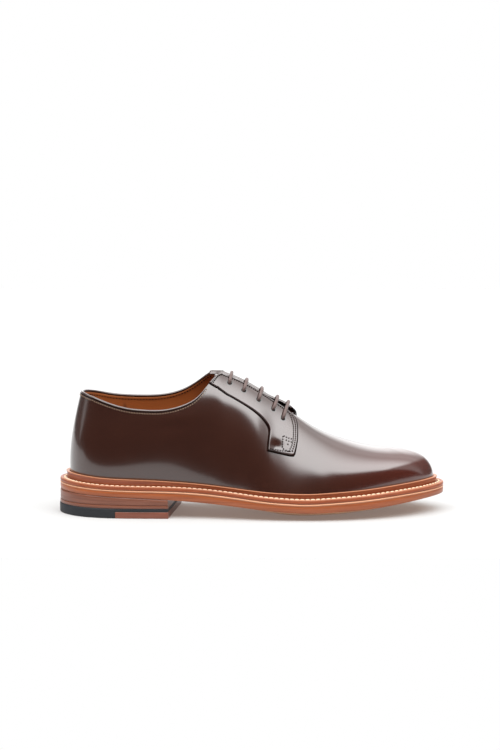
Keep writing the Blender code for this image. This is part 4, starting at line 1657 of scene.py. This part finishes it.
    def edge_lines(self, facings: Sequence[Facing]) -> Shape:
        """Dark lines round the facings, dyed edge with the painted shade of the gap beside it, and painted
        shade in the pressed groove behind each rolled edge.

        Args:
            facings: Both facings.

        Returns:
            Shape of all lines.
        """
        shapes = []
        way = np.linspace(0, 1, self.line_points)
        same = np.ones_like(way)
        w = np.linspace(0.0, self.collar_line_end, self.collar_points)
        for facing in facings:
            side = facing.side
            groove_at = facing.edge.groove_at
            rims = (facing.places(way, self.past_neck * same), facing.places(self.past_foot * same, way),
                    facing.places(self.front_from + (1 - self.front_from) * way, self.past_front * same))
            shapes += [self.line(side, rim, self.rim_above, size) for rim, size in zip(rims, self.rim_sizes)]
            grooves = (facing.seam(SeamRow(groove_at, *self.groove_span)),
                       facing.places(self.groove_span[0] * same, way))
            shapes += [self.line(side, path, self.shoe.facing_top, self.groove_size) for path in grooves]
            shapes.append(self.line(side, (w, np.full_like(w, groove_at)), 0.0, self.collar_line))
        return self.gather(shapes)

    def build(self, facings: Sequence[Facing]) -> None:
        """Make the rows on the upper.

        Args:
            facings: Both facings.
        """
        self.shoe.dress("collar_stitches", self.collar_rows(), PALE_THREAD, "lace_cotton")
        self.shoe.dress("lining_stitches", self.lining_rows(), DARK_THREAD, "lace_cotton")
        self.shoe.dress("facing_stitches", self.facing_rows(facings), DARK_THREAD, "lace_cotton")
        self.shoe.dress("edge_lines", self.edge_lines(facings), EDGE_DYE_AND_SHADE, "eyestay_leather")


@dataclass
class Tongue:
    """Tongue under the facings, with a rounded top and thin edges."""

    shoe: Shoe
    half: float = 24.0
    rise: float = 7.0
    gap: float = 0.7
    thick: float = 1.6
    thinnest: float = 0.02
    start: float = 10.0
    end: float = 15.0
    sink: float = 1.5
    room: float = 1.6
    room_at: Pair = (0.5, 0.72)
    bulge: float = 2.2
    bulge_from: Pair = (10.2, 10.8)
    bulge_to: Pair = (12.2, 13.0)
    bulge_half: Pair = (2.5, 6.0)
    tip_rows: int = 14
    tip_foot: float = 0.02
    tip_taper: float = 0.16
    corner_cut: float = 4.5
    corner_power: int = 5
    thin_rows: float = 30.0
    thin_share: float = 0.05
    lowest: float = 0.35
    rib_points: int = 131
    stations: int = 71
    cross_points: int = 61

    def shape(self) -> Shape:
        """Strip that follows the instep inside the wall, drawn out at its top.

        Returns:
            Closed shape; both skins meet along its border in an elliptic edge.
        """
        last = self.shoe.last
        w = np.linspace(self.start, self.end, self.stations)
        v = np.linspace(-1, 1, self.cross_points)
        grid = np.zeros((len(w), len(v), 3))
        normal = np.zeros_like(grid)
        shares = np.linspace(self.lowest, 1.0, self.rib_points)
        for side, part in ((Side.LATERAL, v < 0), (Side.MEDIAL, v >= 0)):
            ribs = last.rib(side, w[:, None], shares[None, :])
            reach = np.abs(ribs[..., 1] - ribs[:, -1:, 1])
            wanted = np.abs(v[part]) * self.half
            t = np.array([np.interp(-wanted, -row, shares) for row in reach])
            normal[:, part] = last.normal(side, w[:, None], t)
            grid[:, part] = last.rib(side, w[:, None], t)
        slope = unit(grid[0] - grid[2])
        upward = np.linspace(1, 0, self.tip_rows)[:, None]
        climb = np.linspace(1, self.tip_foot, self.tip_rows)[:, None, None] * self.rise
        tip = grid[0][None] + slope[None] * climb
        tip[..., 1] *= 1 - self.tip_taper * upward**2
        corner = np.abs(v)[None, :] ** self.corner_power * upward
        tip -= slope[None] * (corner * self.corner_cut)[..., None]
        tip[..., 2] -= self.sink * upward
        grid = np.concatenate((tip, grid))
        normal = np.concatenate((np.repeat(normal[:1], self.tip_rows, axis=0), normal))
        deep = self.shoe.wall + self.gap + self.room * smooth_step(*self.room_at, np.abs(v))[None, :]
        pressed = smooth_step(*self.bulge_from, w) * (1 - smooth_step(*self.bulge_to, w))
        pressed = np.concatenate((np.zeros(len(tip)), pressed))
        inside = 1 - smooth_step(*self.bulge_half, np.abs(v) * self.half)
        deep = deep - self.bulge * pressed[:, None] * inside
        border = np.minimum(1 - np.abs(v)[None, :], np.arange(len(grid))[:, None] / self.thin_rows)
        full = rounded(border, self.thin_share)
        outer = grid - normal * (deep + self.thick / 2 * (1 - full))[..., None]
        inner = grid - normal * (deep + self.thick / 2 * (1 + full) + self.thinnest)[..., None]
        return closed_shell(outer.reshape(-1, 3), inner.reshape(-1, 3), grid_quads(*grid.shape[:2]),
                            {"line": np.zeros(grid.shape[0] * grid.shape[1])})

    def build(self) -> None:
        """Make the tongue."""
        self.shoe.dress("tongue_leather", self.shape(), CALF, "tongue_leather", "tongue")


@dataclass
class Lace:
    """One round cord: straight bars over the throat, joined by runs under the facings."""

    shoe: Shoe
    radius: float = 1.3
    hidden_radius: float = 1.0
    over_gap: float = 0.1
    under_gap: float = 0.2
    lean: float = 0.14
    corners: int = 14
    step: float = 0.5
    fine_points: int = 4000
    sharp: float = 80.0

    @property
    def under(self) -> float:
        """Height of the runs under the facings, from the outside of the wall."""
        return -self.shoe.wall - self.hidden_radius - self.under_gap

    def corners_of_bar(self, eyelet: Eyelet) -> Array:
        """Points that a bar follows: up through one hole, over both facings, down through the other.

        Args:
            eyelet: The pair of eyelets.

        Returns:
            Points with the radius of the cord as a fourth column.
        """
        over = self.shoe.facing_top + self.radius + self.over_gap
        # Up through the hole, over its rim, then level to the middle of the throat
        share = np.array([1.0, 1.0, 0.86, 0.6, 0.3, 0.0])
        above = np.array([self.under, -0.6, over - 0.3, over, over, over])
        thick = np.array([self.hidden_radius] + [self.radius] * 5)
        halves = []
        for side in Side:
            at = eyelet.at + self.lean * (1 - share)
            lift = self.shoe.stand_off(side, at, eyelet.set_back * share) * (above > 0)
            points = self.shoe.charts[side].point(at, eyelet.set_back * share, above + lift)
            halves.append(np.column_stack((points, thick)))
        return np.concatenate((halves[0], halves[1][::-1]))

    def route(self) -> Array:
        """Whole route from the lowest bar to the highest, with the runs between them.

        Returns:
            Points with the radius as a fourth column.
        """
        parts = []
        pairs = EYELETS[::-1]
        f = np.array([0.25, 0.5, 0.75])
        for number, eyelet in enumerate(pairs):
            bar = self.corners_of_bar(eyelet)
            leaves = Side.LATERAL if number % 2 else Side.MEDIAL
            parts.append(bar[::-1] if number % 2 else bar)
            if number + 1 < len(pairs):
                after = pairs[number + 1]
                at = eyelet.at + (after.at - eyelet.at) * f
                back = eyelet.set_back + (after.set_back - eyelet.set_back) * f
                points = self.shoe.charts[leaves].point(at, back, self.under)
                parts.append(np.column_stack((points, np.full(len(f), self.hidden_radius))))
        return np.concatenate(parts)

    def shape(self) -> Shape:
        """Round sections along the route, each turned no more than it must from the one before.

        Returns:
            Closed tube with distances along and round the cord.
        """
        route = self.route()
        chord = np.linalg.norm(np.diff(route[:, :3], axis=0), axis=1)
        knots = np.concatenate(([0.0], np.cumsum(np.sqrt(chord))))
        fine = OpenSpline(knots, route).at(np.linspace(0, knots[-1], self.fine_points))
        length = travelled(fine[:, :3])
        spots = np.linspace(0, length[-1], int(length[-1] / self.step))
        path = between(spots, length, fine)
        ahead = unit(np.gradient(path[:, :3], axis=0))
        across = np.zeros_like(ahead)
        across[0] = unit(np.cross(ahead[0], (1.0, 0.0, 0.0)))
        for k in range(1, len(ahead)):
            across[k] = unit(across[k - 1] - ahead[k] * np.dot(across[k - 1], ahead[k]))
        other = np.cross(ahead, across)
        turn = np.arange(self.corners) * 2 * math.pi / self.corners
        ring = np.cos(turn)[None, :, None] * across[:, None] + np.sin(turn)[None, :, None] * other[:, None]
        tube = loft(path[:, None, :3] + ring * path[:, None, 3:], (True, True))
        size = (len(spots), self.corners)
        tube.values["along"] = np.broadcast_to(spots[:, None], size).reshape(-1)
        tube.values["around"] = np.broadcast_to(turn / (2 * math.pi), size).reshape(-1)
        return tube

    def build(self) -> None:
        """Make the cord."""
        nodes = [f"lace_bar_{number}" for number in range(1, len(EYELETS) + 1)]
        self.shoe.dress("lace", self.shape(), LACE_COTTON, "lace_cotton", *nodes, sharp=self.sharp)


@dataclass
class Bottom:
    """Welt, outsole, insole and heel."""

    shoe: Shoe
    welt_thick: float = 3.5
    lip_thick: float = 1.9
    lip_flare: float = 0.7
    groove_out: float = 2.0
    seam_height: float = 2.95
    seam_stitch: Stitch = Stitch(4.0, 3.6, 1.8, 0.9, 12.0)
    gap: float = 0.3
    insole_thick: float = 3.2
    insole_clear: float = 0.5
    breast_x: float = 87.7
    breast_skew: float = 8.0
    breast_before: float = 8.0
    rubber_end: float = 0.625
    top_piece: float = 5.2
    rubber_layer: float = 2.4
    heel_flare: float = 0.6
    lower_flare: float = 0.25
    upper_flare: float = 0.05
    lift_split: float = 10.3
    layer_gap: float = 0.1
    corner_gap: float = 0.002
    stations: int = 360
    crowding: float = 0.55
    across: int = 29
    rib_points: int = 41
    heel_points: int = 321
    rear_points: int = 61
    rear_crowding: float = 1.3
    front_points: int = 24

    def numbers(self) -> Array:
        """Section numbers, closer together round the toe and the heel."""
        share = np.linspace(0, 1, self.stations + 1)
        return LAST_ROW * (share - self.crowding * np.sin(4 * math.pi * share) / (4 * math.pi))

    def plate(self, edge: Callable[[Side, float], Array], low: Height, high: Height,
              rim: Sequence[RimRow]) -> Array:
        """Sections of a plate: along its underside, up one rim, back along its top, down the other.

        Args:
            edge: Plan curve of a side for an inset.
            low: Height of the underside.
            high: Height of the top.
            rim: Corners of the rim.

        Returns:
            Points by section, place in the section and axis.
        """
        v = np.linspace(-1, 1, self.across)

        def layer(inset: float, height: Height) -> Array:
            """Points from side to side at one inset."""
            near = edge(Side.LATERAL, inset)
            far = edge(Side.MEDIAL, inset)
            xy = near[:, None] + (far - near)[:, None] * ((v + 1) / 2)[None, :, None]
            z = height(xy[..., 0], np.broadcast_to(v, xy.shape[:2]))
            return np.concatenate((xy, z[..., None]), axis=-1)

        def corner(side: Side, row: RimRow) -> Array:
            """Points of one corner of the rim."""
            xy = edge(side, row.inset)
            z = (1 - row.share) * low(xy[:, 0], side.value) + row.share * high(xy[:, 0], side.value)
            return np.concatenate((xy, z[:, None]), axis=-1)[:, None]

        parts = [layer(rim[0].inset, low)]
        parts += [corner(Side.MEDIAL, row) for row in rim[1:-1]]
        parts.append(layer(rim[-1].inset, high)[:, ::-1])
        parts += [corner(Side.LATERAL, row) for row in rim[-2:0:-1]]
        return np.concatenate(parts, axis=1)

    def welt_profile(self, side: Side, w: Array) -> Triple:
        """Section of the storm welt at each station.

        Args:
            side: Side of the shoe.
            w: Section numbers.

        Returns:
            Points by station and corner, the share of painted highlight at each corner (of painted shade in
            the groove where it is negative), and the middle of the stitch groove.
        """
        last = self.shoe.last
        columns = last.columns(side, w)
        foot, out = last.feather(side, w)
        tip = self.welt_thick + columns[:, LIP]
        t = np.linspace(0, 0.5, self.rib_points)
        ribs = last.rib(side, w[:, None], t[None, :])
        reach = np.einsum("ijk,ik->ij", ribs[..., :2] - foot[:, None], out)
        climb = ribs[..., 2] - ribs[:, :1, 2]
        wall = [np.array([np.interp(h, c, r) for h, c, r in zip(level, climb, reach)])
                for level in (0 * tip, tip / 2, tip)]
        face = wall[2] + self.gap + self.lip_thick
        lip = face + self.lip_flare
        edge = columns[:, MARGIN]
        top = self.welt_thick
        groove = face + self.groove_out
        # Distance out, height and share of painted highlight (negative: painted shade): edge, ledge, groove,
        # lip, then down the wall
        rows = (
            (wall[0] + 0.25, 0.1, 0.0), (edge - 0.7, 0.1, 0.0), (edge - 0.35, 0.2, 0.0),
            (edge - 0.1, 0.55, 0.0), (edge - 0.02, 1.0, 0.0), (edge, 1.5, 0.0), (edge - 0.02, 2.0, 0.0),
            (edge - 0.12, 2.35, 0.0), (edge - 0.2, 2.5, 0.0), (edge - 0.1, 2.75, 0.4),
            (edge - 0.2, 3.1, 0.7), (edge - 0.5, 3.38, 0.6), (edge - 0.9, top, 0.3),
            (edge - 1.3, 3.42, 0.0), (groove + 0.9, 3.2, -0.1), (groove + 0.5, 2.9, -0.25),
            (groove, 2.75, -0.25), (groove - 0.5, 2.85, -0.25), (face + 0.7, 2.95, -0.3),
            (face + 0.15, 2.9, -0.3), (face - 0.05, 3.15, -0.2), (face + 0.05, 0.4 * tip + 0.6 * top, 0.0),
            (face + 0.55 * self.lip_flare, 0.75 * tip + 0.25 * top, 0.0), (lip, tip - 0.5, 0.25),
            (lip, tip - 0.18, 0.8), (lip - 0.25, tip - 0.02, 1.0), (face - 0.5, tip, 1.0),
            (wall[2] + 0.7, tip - 0.1, 0.9), (wall[2] + 0.28, tip - 0.4, 0.4), (wall[1] + 0.25, tip / 2, 0.0),
        )

        def corner(beyond: Array, height: Array | float) -> Array:
            """Points at a distance out from the feather line and a height over the sole."""
            xy = foot + out * beyond[:, None]
            return np.column_stack((xy, last.sole_top(xy[:, 0], side.value) + height))

        corners = np.stack([corner(beyond, height) for beyond, height, _ in rows], axis=1)
        lit = np.broadcast_to(np.array([row[2] for row in rows]), corners.shape[:2])
        return corners, lit, corner(groove, self.seam_height)

    def welt_shapes(self) -> tuple[Shape, Array]:
        """Welt carried all round the shoe, and the line of its seam.

        Returns:
            Closed shape and points of the seam.
        """
        w = self.numbers()
        there, back = self.welt_profile(Side.LATERAL, w), self.welt_profile(Side.MEDIAL, w[-2:0:-1])
        sections, lit, seam = (np.concatenate(pair) for pair in zip(there, back))
        shape = loft(sections, joined=True)
        # Positive shares give the painted highlight, negative ones the painted shade in the groove
        shape.values["lit"] = np.maximum(lit.reshape(-1), 0)
        shape.values["line"] = np.maximum(-lit.reshape(-1), 0)
        return shape, np.concatenate((seam, seam[:1]))

    def outsole_shape(self) -> Shape:
        """Outsole: a bent plate as wide as the welt, with a bead along its upper edge that carries a painted
        highlight.

        Returns:
            Closed shape.
        """
        last = self.shoe.last
        w = self.numbers()
        rim = [RimRow(*row) for row in (
            (1.3, 0.0), (0.55, 0.03), (0.2, 0.12), (0.05, 0.3), (0.0, 0.5), (0.05, 0.68),
            (0.25, 0.78), (0.12, 0.83), (-0.1, 0.88), (-0.1, 0.93), (0.15, 0.975), (0.7, 1.0))]
        # Share of painted highlight at each corner of the rim, lightest on the bead
        light = (0.0, 0.0, 0.0, 0.0, 0.0, 0.0, 0.0, 0.35, 1.0, 1.0, 0.5, 0.0)

        def edge(side: Side, inset: float) -> Array:
            """Plan curve of the sole's edge."""
            return last.outline(side, w, last.columns(side, w)[:, MARGIN] - inset)

        sections = self.plate(edge, last.sole_bottom, last.sole_top, rim)
        shape = loft(sections)
        flat = (0.0,) * self.across
        lit = np.array(flat + light[1:-1] + flat + light[-2:0:-1])
        shape.values["lit"] = np.broadcast_to(lit, sections.shape[:2]).reshape(-1)
        return shape

    def insole_shape(self) -> Shape:
        """Insole: lies on the outsole, inside the lining.

        Returns:
            Closed shape.
        """
        last = self.shoe.last
        w = self.numbers()
        clear = self.shoe.wall + self.insole_clear
        rim = [RimRow(*row) for row in ((0.4, 0.0), (0.0, 0.5), (0.15, 0.85), (0.6, 1.0))]
        return loft(self.plate(lambda side, inset: last.outline(side, w, np.full(len(w), -clear - inset)),
                               lambda x, v: last.sole_top(x, v) + self.gap,
                               lambda x, v: last.sole_top(x, v) + self.gap + self.insole_thick, rim))

    def heel_sections(self, low: Height, high: Height, flare: float, shares: Array) -> Array:
        """Heel piece between two heights, at shares of the way from the back of the heel to its breast.

        Args:
            low: Height of its underside.
            high: Height of its top.
            flare: How far it stands outside the sole.
            shares: Places of its sections.

        Returns:
            Points by section, place in the section and axis.
        """
        last = self.shoe.last
        dense = np.linspace(0, self.breast_before, self.heel_points)
        runs = {}
        for side, breast in ((Side.LATERAL, self.breast_x), (Side.MEDIAL, self.breast_x + self.breast_skew)):
            runs[side] = np.interp(breast, last.outline(side, dense)[:, 0], dense) * shares

        def edge(side: Side, inset: float) -> Array:
            """Plan curve of the heel's edge."""
            beyond = last.columns(side, runs[side])[:, MARGIN] - inset + flare
            return last.outline(side, runs[side], beyond)

        rim = [RimRow(*row) for row in (
            (0.5, 0.0), (0.12, 0.05), (0.0, 0.2), (0.0, 0.8), (0.08, 0.95), (0.3, 1.0))]
        return self.plate(edge, low, high, rim)

    def heel_shapes(self) -> dict[str, Shape]:
        """The lifts, the rubber with its rear corner, and the leather piece in front of it.

        Returns:
            Shapes by solid.
        """
        def level(z: float) -> Height:
            """Height of a flat face."""
            return lambda x, v: np.full(np.broadcast_shapes(np.shape(x), np.shape(v)), z)

        def seat(x: Array, v: Array | float) -> Array:
            """Height just under the outsole."""
            return self.shoe.last.sole_bottom(x, v) - self.layer_gap

        rear = np.linspace(0, 1, self.rear_points) ** self.rear_crowding * self.rubber_end
        front = np.linspace(self.rubber_end, 1, self.front_points)
        whole = np.concatenate((rear, front[1:]))
        rubber_top = self.top_piece + self.rubber_layer
        corner = self.heel_sections(level(0.0), level(rubber_top), self.heel_flare, rear)
        layer = self.heel_sections(level(self.top_piece), level(rubber_top), self.heel_flare, front)
        leather = self.heel_sections(level(0.0), level(self.top_piece - self.layer_gap), self.heel_flare,
                                     front + self.corner_gap)
        split = level(self.lift_split - self.layer_gap)
        lower = self.heel_sections(level(rubber_top + self.layer_gap), split, self.lower_flare, whole)
        upper = self.heel_sections(level(self.lift_split), seat, self.upper_flare, whole)
        return {"heel_top_rubber": loft(np.concatenate((corner, layer)), (False, True)),
                "heel_top_leather": loft(leather, (True, True)),
                "heel_lift_lower": loft(lower, (False, True)),
                "heel_lift_upper": loft(upper, (False, True))}

    def build(self, stitching: Stitching) -> None:
        """Make welt, outsole, insole and heel.

        Args:
            stitching: Maker of stitches, for the welt's seam.
        """
        welt, seam = self.welt_shapes()
        up = np.broadcast_to(np.array((0.0, 0.0, 1.0)), seam.shape)
        threads = stitching.row(seam, up, self.seam_stitch)
        dress = self.shoe.dress
        dress("welt_strip", welt, WELT, "welt_leather", "welt")
        dress("welt_stitches", threads, WELT_THREAD, "lace_cotton")
        dress("outsole_plate", self.outsole_shape(), SOLE_LEATHER, "outsole_leather", "outsole")
        dress("insole_sock", self.insole_shape(), LINING, "insole_leather", "insole")
        finishes = {"heel_top_rubber": (RUBBER, "heel_rubber"),
                    "heel_top_leather": (TOP_PIECE, "top_piece_leather"),
                    "heel_lift_lower": (LIFTS, "lift_leather"),
                    "heel_lift_upper": (LIFTS, "lift_leather")}
        for node, shape in self.heel_shapes().items():
            dress(node + "_dressed", shape, *finishes[node], node)


@dataclass
class Studio:
    """Pale floor, soft dome of light and the camera at the photograph's angle."""

    distance: float = 1.6
    elevation: float = 8.7
    aim_height: float = 0.045
    lens: float = 96.7
    sensor: float = 36.0
    frame_height: float = 750.0
    aim_row: float = 453.9
    aim_column: float = -2.0
    paper_near: float = -0.19
    paper_far: float = 2.5
    paper_half: float = 2.0
    # The paper's faint blue balances its warm glow, which is painted light: it lifts and warms the floor's
    # shadows
    paper: str = "#a5a9aa"
    paper_roughness: float = 0.9
    glow: str = "#ffe7dd"
    glow_strength: float = 0.19
    box_tilt: float = 0.2
    # By the angle in degrees from the front horizon over the zenith
    box_rise: Ramp = Ramp(30.0, 40.0, 0.0, 5.4)
    box_fade: Ramp = Ramp(52.0, 110.0, 1.0, 0.25)
    box_past: Ramp = Ramp(114.0, 140.0, 1.0, 0.5)
    # By the place along X over the height Z
    box_right: Ramp = Ramp(1.12, 1.5, 1.0, 0.15)
    box_left: Ramp = Ramp(-1.4, -0.75, 0.15, 1.0)
    # By the place along Y
    back: Ramp = Ramp(0.7, 0.95, 0.04, 0.9)

    def camera(self) -> None:
        """Camera that looks along +Y, a little down, with the shoe low in a tall frame."""
        lens = bpy.data.cameras.new("camera")
        lens.lens = self.lens
        lens.sensor_width = self.sensor
        lens.shift_x = self.aim_column / self.frame_height
        lens.shift_y = (self.aim_row - self.frame_height / 2) / self.frame_height
        made = bpy.data.objects.new("camera", lens)
        aim = Vector((0.0, 0.0, self.aim_height))
        tilt = math.radians(self.elevation)
        made.location = aim + Vector((0.0, -math.cos(tilt), math.sin(tilt))) * self.distance
        made.rotation_euler = (aim - made.location).to_track_quat("-Z", "Y").to_euler()
        bpy.context.scene.collection.objects.link(made)
        bpy.context.scene.camera = made

    def floor(self) -> None:
        """Pale paper under the shoe, which ends before the camera; it also glows a warm pink, painted light
        that lifts and warms its shadows.
        """
        mesh = bpy.data.meshes.new("floor")
        half, near, far = self.paper_half, self.paper_near, self.paper_far
        corners = [(-half, near, 0.0), (half, near, 0.0), (half, far, 0.0), (-half, far, 0.0)]
        mesh.from_pydata(corners, [], [(0, 1, 2, 3)])
        paper = bpy.data.materials.new("floor_paper")
        paper.use_nodes = True
        shader = paper.node_tree.nodes["Principled BSDF"]
        shader.inputs["Base Color"].default_value = linear(self.paper)
        # Painted light: a warm glow that lifts the floor's shadows
        shader.inputs["Emission Color"].default_value = linear(self.glow)
        shader.inputs["Emission Strength"].default_value = self.glow_strength
        shader.inputs["Roughness"].default_value = self.paper_roughness
        mesh.materials.append(paper)
        made = bpy.data.objects.new("floor", mesh)
        bpy.context.scene.collection.objects.link(made)
        made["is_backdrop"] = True

    def dome(self) -> None:
        """Long soft box over the front, dimmer past the zenith, white behind; the camera sees white.

        The box is drawn by the angle round the X axis, from the front horizon over the zenith, so
        its lower edge is straight, as a real box's is.
        """
        world = bpy.data.worlds.new("dome")
        world.use_nodes = True
        tree = world.node_tree
        spot = add(tree, "TexCoord", {}).outputs["Generated"]
        parts = add(tree, "SeparateXYZ", {0: spot}).outputs
        ahead = add(tree, "Math", {0: self.box_tilt, 1: parts["Y"]}, operation="SUBTRACT")
        angle = add(tree, "Math", {0: parts["Z"], 1: ahead.outputs[0]}, operation="ARCTAN2").outputs[0]
        aside = add(tree, "Math", {0: parts["X"], 1: parts["Z"]}, operation="DIVIDE").outputs[0]
        ramps = [(angle, math.radians(ramp.start), math.radians(ramp.end), ramp)
                 for ramp in (self.box_rise, self.box_fade, self.box_past)]
        ramps += [(aside, ramp.start, ramp.end, ramp) for ramp in (self.box_right, self.box_left)]
        ramps.append((parts["Y"], self.back.start, self.back.end, self.back))
        shares = []
        for value, start, end, ramp in ramps:
            links = {"Value": value, "From Min": start, "From Max": end,
                     "To Min": ramp.low, "To Max": ramp.high}
            shares.append(add(tree, "MapRange", links, interpolation_type="SMOOTHSTEP").outputs[0])
        light = shares[0]
        for share in shares[1:-1]:
            light = add(tree, "Math", {0: light, 1: share}, operation="MULTIPLY").outputs[0]
        both = add(tree, "Math", {0: light, 1: shares[-1]}, operation="ADD")
        path = add(tree, "LightPath", {})
        seen = add(tree, "Mix", {"Factor": path.outputs["Is Camera Ray"], "A": both.outputs[0], "B": 1.0},
                   data_type="FLOAT")
        sky = tree.nodes["Background"]
        sky.inputs["Color"].default_value = (1.0, 1.0, 1.0, 1.0)
        tree.links.new(seen.outputs[0], sky.inputs["Strength"])
        bpy.context.scene.world = world

    def build(self) -> None:
        """Set the stage."""
        self.camera()
        self.floor()
        self.dome()
        bpy.context.scene.view_settings.view_transform = "Standard"


def main() -> None:
    """Build the shoe and its stage."""
    logging.basicConfig(level=logging.INFO, format="%(message)s")
    shoe = Shoe()
    stitching = Stitching(shoe)
    facings = [Facing(shoe, side) for side in Side]
    Upper(shoe).build()
    for facing in facings:
        facing.build()
    stitching.build(facings)
    Tongue(shoe).build()
    Lace(shoe).build()
    Bottom(shoe).build(stitching)
    Studio().build()
    boxes = {"cad": CAD_BOX, "visual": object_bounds()}
    {name: [list(corner) for corner in box] for name, box in boxes.items()}


if __name__ == "__main__":
    main()
